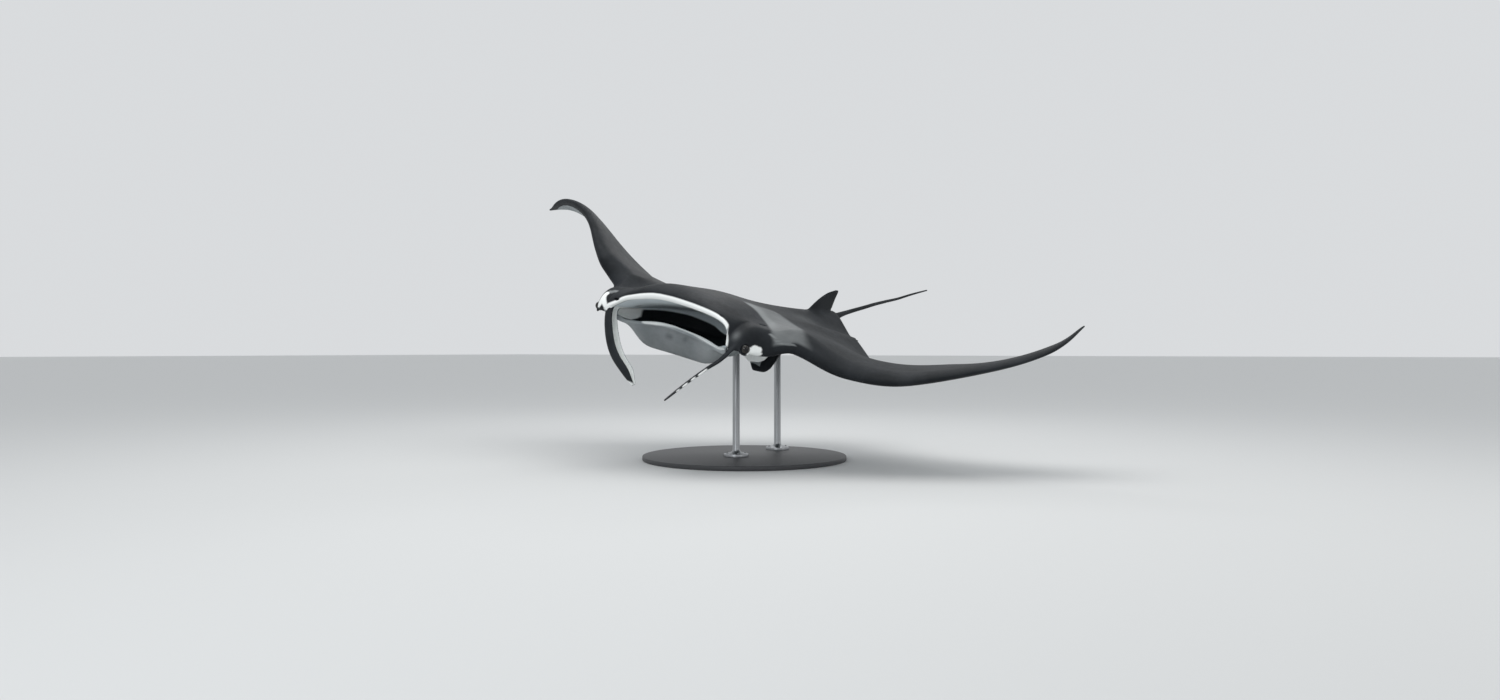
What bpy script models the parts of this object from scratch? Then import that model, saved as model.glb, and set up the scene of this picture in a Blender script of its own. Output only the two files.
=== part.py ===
"""Life-size manta ray feeding with its mouth open, banked to its left, on a display stand.

The ray is first shaped flat and level: x runs to the animal's left, y towards its tail and z up,
with zero in the middle of the line of the mouth. Its wings are then bent to the pose, the body is
parted into its nodes with thin straight cuts, and the whole is banked and set on the stand.
"""

import math

import bmesh
import bpy
import numpy as np
from mathutils import Matrix, Vector

# Driving dimensions in metres
DISC_WIDTH = 3.2
HALF_SPAN = DISC_WIDTH / 2
WING_PLANE = 0.026
EDGE_HALF_THICKNESS = 0.0015
GAP = 0.0003

MOUTH_HALF_WIDTH = 0.31
MOUTH_DEPTH = 0.36
LIP_RADIUS = 0.013
LOWER_LIP_SETBACK = 0.115
ROOF_END = 0.045
FLOOR_END = -0.035
FLOOR_SAG = 0.045

EYE_RADIUS = 0.02
EYE_PLACE = Vector((0.371, 0.036, 0.004))
EYE_AXIS = Vector((0.80, -0.57, 0.10)).normalized()
LID_WIDTH = 0.006
FLAP_ROOT = 0.020
FLAP_DEPTH = [(0.0, 0.05), (0.3, 0.26), (0.42, 0.55), (0.54, 0.95), (0.72, 1.0), (0.87, 0.82),
              (0.95, 0.5), (1.0, 0.05)]

STAND_HEIGHT = 0.60
BASE_RADIUS = 0.46
BASE_THICKNESS = 0.02
ROD_RADIUS = 0.016
FLANGE_RADIUS = 0.055
ROD_PLACES = {"front": -0.07, "rear": 0.30}

# Attitude of the body and its place over the stand
ROLL = math.radians(16.4)
PITCH = math.radians(-1.7)
BODY_PLACE = Vector((0.0, -0.61, STAND_HEIGHT))

# Outline of the disc seen from above: span from the midline, then place along the body
LEADING_EDGE = [(0.31, -0.005), (0.352, 0.0), (0.382, 0.03), (0.415, 0.09), (0.46, 0.145),
                (0.54, 0.185), (0.64, 0.213), (0.80, 0.262), (0.96, 0.323), (1.12, 0.416),
                (1.28, 0.528), (1.44, 0.672), (1.536, 0.784), (1.60, 0.902)]
TRAILING_EDGE = [(0.0, 1.408), (0.096, 1.396), (0.192, 1.335), (0.26, 1.256), (0.33, 1.228),
                 (0.40, 1.19), (0.48, 1.136),
                 (0.64, 1.024), (0.80, 0.944), (0.96, 0.896), (1.12, 0.864), (1.28, 0.858),
                 (1.44, 0.870), (1.536, 0.896), (1.60, 0.930)]

# How far the right wing's front edge is drawn back near its root, by span
RIGHT_SWEEP = [(0.40, 0.0), (0.46, 0.055), (0.53, 0.02), (0.61, -0.022), (0.76, -0.018), (0.95, 0.0)]

# Height of each lip across the mouth, from its right corner to its left
UPPER_LIP = [(-0.31, 0.0), (-0.302, 0.010), (-0.29, 0.018), (-0.27, 0.030), (-0.25, 0.043),
             (-0.21, 0.067), (-0.17, 0.0795), (-0.13, 0.0885), (-0.09, 0.0962), (-0.05, 0.1015),
             (0.0, 0.1055), (0.07, 0.1078), (0.11, 0.1074), (0.15, 0.1052), (0.19, 0.1022),
             (0.23, 0.0970), (0.25, 0.0925), (0.27, 0.0855), (0.29, 0.0715), (0.302, 0.051),
             (0.31, 0.0)]
LOWER_LIP = [(-0.31, 0.0), (-0.29, -0.024), (-0.27, -0.034), (-0.25, -0.0375), (-0.21, -0.0353),
             (-0.17, -0.0283), (-0.13, -0.0224), (-0.09, -0.0198), (-0.05, -0.0198),
             (0.0, -0.0234), (0.07, -0.0272), (0.11, -0.0303), (0.15, -0.0348), (0.19, -0.0413),
             (0.23, -0.0446), (0.25, -0.043), (0.27, -0.037), (0.29, -0.025), (0.31, 0.0)]

# Height of the leading edge, then the greatest rise and drop of the skin from the wing's plane
EDGE_HEIGHT = [(0.31, 0.0), (0.37, 0.002), (0.45, 0.014), (0.55, WING_PLANE), (1.60, WING_PLANE)]
RISE = [(0.0, 0.115), (0.20, 0.094), (0.31, 0.074), (0.42, 0.064), (0.60, 0.047), (0.80, 0.036),
        (1.0, 0.027), (1.20, 0.019), (1.40, 0.012), (1.55, 0.006), (1.60, 0.003)]
DROP = [(0.0, 0.108), (0.10, 0.095), (0.20, 0.066), (0.25, 0.052), (0.32, 0.045), (0.42, 0.041),
        (0.60, 0.035), (0.80, 0.025), (1.0, 0.018), (1.20, 0.013), (1.40, 0.008), (1.55, 0.004), (1.60, 0.003)]
NOSE_LENGTH = [(0.0, 0.13), (0.31, 0.14), (0.37, 0.11), (0.45, 0.10), (1.60, 0.10)]
NOSE_SHARE = 0.22
CHIN_STEEPNESS = 0.65
THICKEST = 0.3
FULLNESS = 1.6
CHIN_DEPTH, CHIN_X, CHIN_Y, CHIN_LENGTH, CHIN_HALF_WIDTH = 0.160, -0.042, 0.19, 0.13, 0.218
CROWN_RISE, CROWN_Y, CROWN_LENGTH, CROWN_HALF_WIDTH = 0.026, 0.22, 0.28, 0.25
STUB_HEIGHT, STUB_HALF_WIDTH = 0.046, 0.09
REAR_LIFT, REAR_HALF_WIDTH = 0.072, 0.15
JAW_LEAST = 0.010
HEAD_DROOP, DROOP_START, DROOP_ROUND = 0.07, 0.02, 0.08
BROW = [(-0.38, 0.0), (-0.32, -0.005), (-0.25, -0.010), (-0.19, -0.003), (-0.14, 0.006), (-0.08, 0.009),
        (0.0, 0.005), (0.08, 0.0)]

# Bend of each wing: span, then how steeply it climbs and how far its rear edge turns down
BEND_AXIS = 0.576
BEND_START = 0.192
LEFT_CLIMB = [(0.192, 4.0), (0.48, -4.0), (0.704, 7.5), (0.928, 19.0), (1.152, 25.4),
              (1.376, 32.3), (1.50, 52.4), (1.60, 84.0)]
LEFT_TURN = [(0.192, -4.0), (0.48, 6.0), (0.704, -2.0), (0.928, -7.7), (1.152, -7.5),
             (1.376, -12.2), (1.50, -14.7), (1.60, -11.4)]
LEFT_TIP_START, LEFT_TIP_TUCK = 1.40, 0.30
RIGHT_CLIMB = [(0.192, -2.0), (0.48, 9.5), (0.704, 28.5), (0.928, 31.0), (1.152, 9.5),
               (1.376, -20.5), (1.60, -44.5)]
RIGHT_TURN = [(0.192, -2.0), (0.48, 9.5), (0.704, 16.0), (0.928, 23.0), (1.152, 15.5),
              (1.376, -3.0), (1.60, -22.0)]

# Where the body is parted
NECK = 0.46
WING_ROOT = 0.42
WING_CUTS = (0.86, 1.24)
JAW_HALF_WIDTH = 0.30
JAW_TOP = 0.001

# Fineness of the disc: rows on the nose, over the back, round a lip, down the mouth, in the throat
NOSE_ROWS, BACK_ROWS, LIP_ROWS, MOUTH_ROWS, THROAT_ROWS = 6, 10, 3, 4, 2
MOUTH_STATIONS, HEAD_STATIONS, WING_STATIONS = 7, 6, 15

COLOURS = {
    "dark_skin": ((0.035, 0.040, 0.046, 1.0), 0.45),
    "pale_skin": ((0.62, 0.64, 0.62, 1.0), 0.5),
    "eye": ((0.010, 0.012, 0.016, 1.0), 0.08),
    "steel": ((0.45, 0.46, 0.47, 1.0), 0.35),
    "base": ((0.05, 0.05, 0.055, 1.0), 0.5),
}


def smooth(points, at):
    """Read a smooth curve through hand-set (place, value) points, with no overshoot."""
    places, values = np.array(points, float).T
    steps = np.diff(places)
    slopes = np.diff(values) / steps
    tangents = np.zeros(len(places))
    tangents[0], tangents[-1] = slopes[0], slopes[-1]
    for k in range(1, len(places) - 1):
        if slopes[k - 1] * slopes[k] > 0:
            near, far = 2 * steps[k] + steps[k - 1], steps[k] + 2 * steps[k - 1]
            tangents[k] = (near + far) / (near / slopes[k - 1] + far / slopes[k])
    at = np.clip(at, places[0], places[-1])
    cell = np.clip(np.searchsorted(places, at) - 1, 0, len(steps) - 1)
    t = (at - places[cell]) / steps[cell]
    start = (1 + 2 * t) * (1 - t) ** 2 * values[cell] + t ** 2 * (3 - 2 * t) * values[cell + 1]
    bow = t * (1 - t) ** 2 * tangents[cell] - t ** 2 * (1 - t) * tangents[cell + 1]
    return start + bow * steps[cell]


def ease(t):
    """Ramp gently from 0 to 1."""
    t = np.clip(t, 0, 1)
    return t * t * (3 - 2 * t)


def mesh_object(name, mesh):
    """Put a mesh in the scene as an object."""
    piece = bpy.data.objects.new(name, mesh)
    bpy.context.scene.collection.objects.link(piece)
    return piece


def from_bmesh(name, shape):
    """Close off a bmesh as an object with its faces pointing out."""
    bmesh.ops.recalc_face_normals(shape, faces=shape.faces)
    mesh = bpy.data.meshes.new(name)
    shape.to_mesh(mesh)
    shape.free()
    return mesh_object(name, mesh)


def settle(piece):
    """Apply every modifier of an object and split its faces into triangles."""
    depsgraph = bpy.context.evaluated_depsgraph_get()
    mesh = bpy.data.meshes.new_from_object(piece.evaluated_get(depsgraph))
    shape = bmesh.new()
    shape.from_mesh(mesh)
    bmesh.ops.triangulate(shape, faces=shape.faces)
    shape.to_mesh(mesh)
    shape.free()
    piece.modifiers.clear()
    piece.data = mesh


def combine(piece, other, operation):
    """Join, cut or intersect one object with another."""
    modifier = piece.modifiers.new(operation, "BOOLEAN")
    modifier.operation = operation
    modifier.solver = "EXACT"
    modifier.object = other
    settle(piece)
    bpy.data.objects.remove(other)


def fuse(piece, others):
    """Join many closed objects to one in a single union."""
    group = bpy.data.collections.new("fused")
    for other in others:
        group.objects.link(other)
    modifier = piece.modifiers.new("fuse", "BOOLEAN")
    modifier.operation = "UNION"
    modifier.solver = "EXACT"
    modifier.operand_type = "COLLECTION"
    modifier.collection = group
    settle(piece)
    for other in others:
        bpy.data.objects.remove(other)
    bpy.data.collections.remove(group)


def keep_largest(piece):
    """Keep the largest closed surface of an object and drop the rest."""
    shape = bmesh.new()
    shape.from_mesh(piece.data)
    left = set(shape.verts)
    shells = []
    while left:
        shell, front = set(), [left.pop()]
        while front:
            vertex = front.pop()
            shell.add(vertex)
            near = [edge.other_vert(vertex) for edge in vertex.link_edges]
            front += [other for other in near if other in left]
            left -= set(near)
        shells.append(shell)
    shells.sort(key=len)
    bmesh.ops.delete(shape, geom=[v for shell in shells[:-1] for v in shell], context="VERTS")
    shape.to_mesh(piece.data)
    shape.free()


def swollen(piece, depth=GAP * 1.1):
    """Copy an object with its skin pushed out a little, to cut a neighbour clear of it."""
    copy = mesh_object(piece.name + "_swollen", piece.data.copy())
    shape = bmesh.new()
    shape.from_mesh(copy.data)
    shape.normal_update()
    for vertex in shape.verts:
        vertex.co += vertex.normal * depth
    shape.to_mesh(copy.data)
    shape.free()
    return copy


def loft(name, rings):
    """Skin a row of rings. A ring runs out along one face and back along the other."""
    shape = bmesh.new()
    grid = [[shape.verts.new(point) for point in ring] for ring in rings]
    count = len(grid[0])
    for ring, following in zip(grid, grid[1:]):
        for j in range(count):
            k = (j + 1) % count
            a, b, c, d = ring[j], ring[k], following[k], following[j]
            if j < count // 2:
                faces = (a, b, c), (a, c, d)
            else:
                faces = (a, b, d), (b, c, d)
            for face in faces:
                shape.faces.new(face)
    for ring in (grid[0], grid[-1]):
        for j in range(count // 2 - 1):
            a, b, c, d = ring[j], ring[j + 1], ring[-j - 2], ring[-j - 1]
            shape.faces.new((a, b, c))
            shape.faces.new((a, c, d))
    bmesh.ops.remove_doubles(shape, verts=shape.verts, dist=1e-6)
    bmesh.ops.dissolve_degenerate(shape, edges=shape.edges, dist=1e-7)
    return from_bmesh(name, shape)


def skin_height(x, y, sheet):
    """Height of the back (sheet 1) or the belly (sheet -1) behind the nose."""
    span = abs(x)
    front = smooth(LEADING_EDGE, max(span, MOUTH_HALF_WIDTH))
    rear = smooth(TRAILING_EDGE, span)
    share = np.clip(((y - front) / (rear - front) - THICKEST) / (1 - THICKEST), 0, 1)
    full = 1 - share ** FULLNESS
    stub = EDGE_HALF_THICKNESS + STUB_HEIGHT * math.exp(-(span / STUB_HALF_WIDTH) ** 2)
    lift = REAR_LIFT * math.exp(-(span / REAR_HALF_WIDTH) ** 2) * share ** 2.5
    if sheet > 0:
        away = ((y - CROWN_Y) / CROWN_LENGTH) ** 2 + (span / CROWN_HALF_WIDTH) ** 4
        reach = smooth(RISE, span) + CROWN_RISE * np.exp(-away)
    else:
        away = ((y - CHIN_Y) / CHIN_LENGTH) ** 2 + ((x - CHIN_X) / CHIN_HALF_WIDTH) ** 8
        reach = smooth(DROP, span)
        reach = reach + (CHIN_DEPTH - reach) * np.exp(-away)
    return WING_PLANE + lift + sheet * (reach * full + stub * (1 - full))


def sheet_rows(x, start, nose, sheet):
    """Points of one face from its front edge, start, back to the rear edge, as (y, z)."""
    turns = np.arange(NOSE_ROWS + 1) / NOSE_ROWS * math.pi / 2
    y = start[0] + nose * (1 - np.cos(turns))
    z = start[1] + (skin_height(x, y, sheet) - start[1]) * np.sin(turns)
    back = np.arange(1, BACK_ROWS + 1) / BACK_ROWS
    y_back = y[-1] + (smooth(TRAILING_EDGE, abs(x)) - y[-1]) * back
    z_back = skin_height(x, y_back, sheet)
    return list(zip(np.append(y, y_back), np.append(z, z_back)))


def arc_rows(centre, radius, first, last, rows):
    """Points round a lip, by angles from straight ahead, up positive."""
    turns = np.radians(first + (last - first) * np.arange(rows + 1) / rows)
    return [(centre[0] - radius * math.cos(a), centre[1] + radius * math.sin(a)) for a in turns]


def mouth_rows(x):
    """Lips, roof, throat and floor of the mouth at one place across it, from above down."""
    share = abs(x) / MOUTH_HALF_WIDTH
    open_share = math.sqrt(max(1 - share ** 2, 0))
    radius = LIP_RADIUS * open_share ** 0.7
    setback = LOWER_LIP_SETBACK * (1 - share ** 6)
    upper = (-0.005 - 0.015 * open_share + radius, float(smooth(UPPER_LIP, x)))
    lower = (-0.005 + setback + radius, float(smooth(LOWER_LIP, x)))
    top_lip = arc_rows(upper, radius, 60, -90, LIP_ROWS)
    low_lip = arc_rows(lower, radius, 90, -60, LIP_ROWS)
    depth = 0.03 + MOUTH_DEPTH * open_share
    way = np.arange(1, MOUTH_ROWS + 1) / MOUTH_ROWS
    inner, rim = top_lip[-1], low_lip[0]
    roof_y = inner[0] + (depth - inner[0]) * way
    roof_z = inner[1] + (ROOF_END * open_share - inner[1]) * way ** 1.5
    floor_y = rim[0] + (depth - rim[0]) * way
    sag = FLOOR_SAG * open_share ** 2 * np.sin(way * math.pi)
    floor_z = rim[1] + (FLOOR_END * open_share - rim[1]) * way - sag
    floor_z = np.maximum(floor_z, skin_height(x, floor_y, -1) + JAW_LEAST)
    roof = list(zip(roof_y, roof_z))
    floor = list(zip(floor_y, floor_z))[::-1]
    throat = [(depth, roof[-1][1] + (floor[0][1] - roof[-1][1]) * k / THROAT_ROWS)
              for k in range(1, THROAT_ROWS)]
    return top_lip, roof + throat + floor, low_lip


def disc_ring(x):
    """One ring of the disc at a place across it: back, mouth if it is there, and belly."""
    span = abs(x)
    inside = MOUTH_ROWS * 2 + THROAT_ROWS - 1
    if span < MOUTH_HALF_WIDTH - 1e-6:
        top_lip, cavity, low_lip = mouth_rows(x)
    else:
        edge = (float(smooth(LEADING_EDGE, span)), float(smooth(EDGE_HEIGHT, span)))
        top_lip = low_lip = [edge] * (LIP_ROWS + 1)
        cavity = [edge] * inside
    front = smooth(LEADING_EDGE, max(span, MOUTH_HALF_WIDTH))
    chord = smooth(TRAILING_EDGE, span) - front
    nose = min(float(smooth(NOSE_LENGTH, span)), NOSE_SHARE * chord)
    back = sheet_rows(x, top_lip[0], nose, 1)
    belly = sheet_rows(x, low_lip[-1], nose * CHIN_STEEPNESS, -1)
    rows = back[::-1] + top_lip[1:] + cavity + low_lip[:-1] + belly
    return [(x, y, z) for y, z in rows]


def disc_stations():
    """Places across the disc, close together where its shape turns."""
    mouth = [MOUTH_HALF_WIDTH * math.sin(k / MOUTH_STATIONS * math.pi / 2)
             for k in range(MOUTH_STATIONS + 1)]
    head = [MOUTH_HALF_WIDTH + (0.44 - MOUTH_HALF_WIDTH) * k / HEAD_STATIONS
            for k in range(1, HEAD_STATIONS + 1)]
    wing = [0.44 + (HALF_SPAN - 0.44) * (1 - (1 - k / WING_STATIONS) ** 1.25)
            for k in range(1, WING_STATIONS + 1)]
    half = mouth + head + wing
    return [-x for x in half[:0:-1]] + half


def wing_frame(climb, turn):
    """Work out how a wing's middle line runs, for many places along the span."""
    span = np.linspace(BEND_START, HALF_SPAN + 0.05, 400)
    angle = np.radians(smooth(climb, span))
    steps = np.diff(span)
    across = np.cumsum(np.append(0, steps * np.cos((angle[1:] + angle[:-1]) / 2)))
    up = np.cumsum(np.append(0, steps * np.sin((angle[1:] + angle[:-1]) / 2)))
    return span, BEND_START + across, WING_PLANE + up, angle, np.radians(smooth(turn, span))


LEFT_FRAME = wing_frame(LEFT_CLIMB, LEFT_TURN)
RIGHT_FRAME = wing_frame(RIGHT_CLIMB, RIGHT_TURN)


def droop(x, y):
    """How far the right side of the head hangs below its left."""
    right = (x - DROOP_START - np.sqrt((x - DROOP_START) ** 2 + DROOP_ROUND ** 2)) / 2
    across = 1 - ease((np.abs(x) - 0.36) / 0.26)
    return HEAD_DROOP * right * across * (1 - ease((y - 0.12) / 0.33))


def brow(x, y, z):
    """How far the brow rises over the middle of the mouth and falls towards its right corner."""
    return smooth(BROW, x) * np.exp(-((y - 0.06) / 0.10) ** 2) * ease((z - 0.06) / 0.05)


def sweep(x, y):
    """How far the front of the right wing's root is drawn back."""
    return smooth(RIGHT_SWEEP, -x) * (1 - ease((y - 0.15) / 0.3))


def bend(points):
    """Move flat points to the pose of the head and wings. The midline stays as it is."""
    points = np.array(points, float)
    points[:, 0] -= LEFT_TIP_TUCK * np.clip(points[:, 0] - LEFT_TIP_START, 0, None)
    points[:, 2] += droop(points[:, 0], points[:, 1]) + brow(*points.T)
    points[:, 1] += sweep(points[:, 0], points[:, 1])
    x, y, z = points.T
    span = np.abs(x)
    moved = points.copy()
    for sign, frame in ((1, LEFT_FRAME), (-1, RIGHT_FRAME)):
        places, across, up, angle, turn = (np.interp(span, frame[0], row) for row in frame)
        climb = np.sin(angle), np.cos(angle)
        back, over = y - BEND_AXIS, z - WING_PLANE
        normal = over * np.cos(turn) - back * np.sin(turn)
        bent = np.stack([sign * (across - climb[0] * normal),
                         BEND_AXIS + back * np.cos(turn) + over * np.sin(turn),
                         up + climb[1] * normal], axis=1)
        start = 0.15 + 0.25 * ease((0.5 - y) / 0.4)
        share = ease((span - start) / 0.14)[:, None]
        chosen = x * sign > 0
        moved[chosen] = (points + (bent - points) * share)[chosen]
    return moved


def bend_piece(piece):
    """Bend an object's mesh with the wings."""
    vertices = piece.data.vertices
    flat = np.empty(len(vertices) * 3)
    vertices.foreach_get("co", flat)
    vertices.foreach_set("co", bend(flat.reshape(-1, 3)).ravel())
    piece.data.update()


def curled_ring(middle, chord, normal, length, curl, thickness, rows=6):
    """A ring round a thin plate that curls about its own length."""
    radius = length / curl
    outer, inner = [], []
    for k in range(rows + 1):
        share = 2 * k / rows - 1
        turn = share * curl / 2
        place = middle + chord * (radius * math.sin(turn)) + normal * (radius * (1 - math.cos(turn)))
        away = normal * -math.cos(turn) + chord * math.sin(turn)
        half = thickness / 2 * max(1 - share ** 4, 0.12)
        outer.append(place + away * half)
        inner.append(place - away * half)
    return outer + inner[::-1]


def cephalic_fin(name, path, chord, normal, lengths, curl, thicknesses, stations=13):
    """A head fin: a plate that hangs from the side of the mouth along a curved path."""
    rings = []
    shares = np.linspace(0, 1, len(path))
    spine = np.array([[smooth(list(zip(shares, column)), t) for column in np.array(path).T]
                      for t in np.linspace(0, 1, stations)])
    runs = np.gradient(spine, axis=0)
    for k, (place, run) in enumerate(zip(spine, runs)):
        t = k / (stations - 1)
        along = Vector(run).normalized()
        width = (chord - along * chord.dot(along)).normalized()
        facing = along.cross(width)
        if facing.dot(normal) < 0:
            facing = -facing
        rings.append(curled_ring(Vector(place), width, facing, float(smooth(lengths, t)), curl,
                                 float(smooth(thicknesses, t))))
    return loft(name, rings)


def left_cephalic_fin():
    """The head fin on the left is spread as a flat paddle."""
    path = [(0.336, 0.035, 0.018), (0.305, 0.0, -0.055), (0.262, -0.012, -0.105),
            (0.212, -0.015, -0.16), (0.158, -0.015, -0.222), (0.108, -0.015, -0.283)]
    lengths = [(0.0, 0.07), (0.2, 0.12), (0.5, 0.155), (0.8, 0.13), (0.95, 0.075), (1.0, 0.03)]
    thicknesses = [(0.0, 0.022), (0.25, 0.013), (0.7, 0.009), (1.0, 0.006)]
    return cephalic_fin("cephalic_fin_left", path, Vector((0.54, -0.83, 0.15)),
                        Vector((0.8, 0.55, -0.4)), lengths, math.radians(11), thicknesses)


def right_cephalic_fin():
    """The head fin on the right is rolled lengthwise, open towards the mouth."""
    path = [(-0.318, 0.058, 0.045), (-0.308, 0.018, -0.001), (-0.281, -0.003, -0.064),
            (-0.242, -0.011, -0.133), (-0.187, -0.018, -0.191), (-0.120, -0.016, -0.240),
            (-0.070, -0.009, -0.275)]
    lengths = [(0.0, 0.080), (0.2, 0.094), (0.5, 0.111), (0.8, 0.102), (1.0, 0.03)]
    thicknesses = [(0.0, 0.02), (0.3, 0.012), (0.7, 0.009), (1.0, 0.006)]
    return cephalic_fin("cephalic_fin_right", path, Vector((0.17, -0.98, 0.0)),
                        Vector((0.98, 0.17, 0.0)), lengths, math.radians(245), thicknesses)


def lens_ring(middle, chord, normal, length, thickness, rows=6):
    """A ring round a straight fin section with round edges."""
    turns = [math.pi * (k + 0.5) / rows for k in range(rows)]
    upper = [middle + chord * (length / 2 * math.cos(a)) + normal * (thickness / 2 * math.sin(a))
             for a in turns]
    lower = [middle + chord * (length / 2 * math.cos(a)) - normal * (thickness / 2 * math.sin(a))
             for a in turns[::-1]]
    return upper + lower


def dorsal_fin():
    """The small fin at the root of the tail, swept back to a blunt tip."""
    outline = [(0.06, 1.10, 1.37), (0.12, 1.125, 1.375), (0.15, 1.165, 1.388),
               (0.18, 1.205, 1.395), (0.21, 1.255, 1.403), (0.235, 1.31, 1.412),
               (0.248, 1.36, 1.416), (0.254, 1.385, 1.41)]
    thickness = [(0.06, 0.034), (0.14, 0.026), (0.254, 0.006)]
    rings = []
    for z, front, rear in outline:
        middle = Vector((0, (front + rear) / 2, z))
        rings.append(lens_ring(middle, Vector((0, 1, 0)), Vector((1, 0, 0)), rear - front,
                               float(smooth(thickness, z))))
    return loft("dorsal_fin", rings)


def pelvic_fin(side):
    """A small rounded lobe beside the root of the tail, under the rear of the disc."""
    outline = [(0.0, 1.24, 0.10), (0.2, 1.26, 0.16), (0.45, 1.295, 0.19), (0.7, 1.335, 0.165),
               (0.9, 1.365, 0.11), (1.0, 1.385, 0.04)]
    thickness = [(0.0, 0.03), (0.4, 0.018), (1.0, 0.006)]
    rings = []
    for t, y, length in outline:
        middle = Vector((side * (0.03 + 0.16 * t), y - 0.01, 0.052 - 0.025 * t))
        chord = Vector((side * 0.25, 1, -0.06)).normalized()
        rings.append(lens_ring(middle, chord, Vector((0, 0.06, 1)).normalized(), length,
                               float(smooth(thickness, t))))
    return loft("pelvic_fin_left" if side > 0 else "pelvic_fin_right", rings)


def gill_flap(side, order):
    """One of the five flared flaps on each side of the throat, deepest towards its outer end."""
    y_root = (0.24, 0.31, 0.38, 0.45, 0.515)[order]
    inner = (0.110, 0.100, 0.095, 0.095, 0.100)[order]
    outer = (0.275, 0.300, 0.305, 0.335, 0.270)[order]
    hang = (0.010, 0.013, 0.052, 0.094, 0.024)[order]
    curl = (0.020, 0.022, 0.005, -0.035, 0.015)[order]
    rings = []
    for t in (0, 0.22, 0.4, 0.54, 0.72, 0.87, 0.95, 1):
        x = inner + (outer - inner) * t
        y = y_root - 0.03 * t
        surface = float(skin_height(side * x, y, -1))
        depth = hang * float(smooth(FLAP_DEPTH, t))
        front, rear = [], []
        for way in (0, 0.35, 0.7, 1):
            drop = FLAP_ROOT - (depth + FLAP_ROOT) * way
            lean = curl * way ** 2
            half = 0.0065 * (1 - way) + 0.0022
            front.append(Vector((side * x, y + lean - half, surface + drop)))
            rear.append(Vector((side * x, y + lean + half, surface + drop)))
        rings.append(front + rear[::-1])
    return loft("gill_flap", rings)


def ellipsoid(name, place, sizes, turn=0.0):
    """A closed ellipsoid, turned about the upright."""
    shape = bmesh.new()
    bmesh.ops.create_uvsphere(shape, u_segments=10, v_segments=6, radius=1)
    spread = Matrix.Diagonal((*sizes, 1))
    placed = Matrix.Translation(place) @ Matrix.Rotation(turn, 4, "Z") @ spread
    bmesh.ops.transform(shape, matrix=placed, verts=shape.verts)
    return from_bmesh(name, shape)


def mirrored(vector, side):
    """Mirror a place or a direction to the given side of the animal."""
    return Vector((vector.x * side, vector.y, vector.z))


def eye_ball(side, radius):
    """The ball of an eye."""
    shape = bmesh.new()
    bmesh.ops.create_uvsphere(shape, u_segments=16, v_segments=10, radius=radius)
    turn = Vector((0, 0, 1)).rotation_difference(mirrored(EYE_AXIS, side)).to_matrix().to_4x4()
    placed = Matrix.Translation(mirrored(EYE_PLACE, side)) @ turn
    bmesh.ops.transform(shape, matrix=placed, verts=shape.verts)
    return from_bmesh("eye_left" if side > 0 else "eye_right", shape)


def eye_lid(side):
    """A thick round lid, sunk in the head round the eye."""
    axis = mirrored(EYE_AXIS, side)
    bpy.ops.mesh.primitive_torus_add(
        major_segments=16, minor_segments=6, major_radius=EYE_RADIUS + 0.001,
        minor_radius=LID_WIDTH, location=mirrored(EYE_PLACE, side) + axis * 0.004,
        rotation=axis.to_track_quat("Z", "Y").to_euler())
    lid = bpy.context.object
    bpy.ops.object.transform_apply()
    return lid


def nostril(side):
    """A short slanting slit over the upper lip near the corner of the mouth."""
    x = side * 0.262
    place = Vector((x, -0.002, float(smooth(UPPER_LIP, x)) + 0.016))
    return ellipsoid("nostril", place, (0.018, 0.012, 0.006), side * math.radians(20))


def spiracle(side):
    """The small breathing slit behind and above the eye."""
    place = Vector((side * 0.335, 0.19, 0.10))
    return ellipsoid("spiracle", place, (0.006, 0.022, 0.014), side * math.radians(-25))


def tail_tube():
    """The whip of the tail with its thick root, as a tapering tube."""
    path = [(1.24, 0.072, 0.048), (1.34, 0.084, 0.042), (1.42, 0.103, 0.028),
            (1.50, 0.128, 0.0155), (1.60, 0.154, 0.0115), (1.72, 0.183, 0.0103),
            (1.86, 0.213, 0.0094), (2.02, 0.239, 0.0084), (2.20, 0.267, 0.0074),
            (2.40, 0.311, 0.006), (2.58, 0.352, 0.004)]
    curve = bpy.data.curves.new("tail", "CURVE")
    curve.dimensions = "3D"
    curve.bevel_depth = 1.0
    curve.bevel_resolution = 2
    curve.use_fill_caps = True
    spline = curve.splines.new("POLY")
    steps = np.linspace(path[0][0], path[-1][0], 28)
    spline.points.add(len(steps) - 1)
    for point, y in zip(spline.points, steps):
        height = float(smooth([(row[0], row[1]) for row in path], y))
        sway = 0.012 * math.sin((y - 1.4) * 5.2) * float(ease((y - 1.45) / 0.4))
        point.co = (sway, y, height, 1)
        point.radius = float(smooth([(row[0], row[2]) for row in path], y))
    tube = bpy.data.objects.new("tail_tube", curve)
    bpy.context.scene.collection.objects.link(tube)
    depsgraph = bpy.context.evaluated_depsgraph_get()
    mesh = bpy.data.meshes.new_from_object(tube.evaluated_get(depsgraph))
    shape = bmesh.new()
    shape.from_mesh(mesh)
    bmesh.ops.remove_doubles(shape, verts=shape.verts, dist=1e-6)
    bmesh.ops.triangulate(shape, faces=shape.faces)
    bpy.data.objects.remove(tube)
    return from_bmesh("tail", shape)


def region(planes):
    """A closed block bounded by planes, each given by a point on it and its way out."""
    shape = bmesh.new()
    bmesh.ops.create_cube(shape, size=8)
    for place, out in planes:
        everything = shape.verts[:] + shape.edges[:] + shape.faces[:]
        bmesh.ops.bisect_plane(shape, geom=everything, plane_co=place, plane_no=out,
                               clear_outer=True)
        rim = [edge for edge in shape.edges if edge.is_boundary]
        bmesh.ops.contextual_create(shape, geom=rim)
    return from_bmesh("region", shape)


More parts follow.
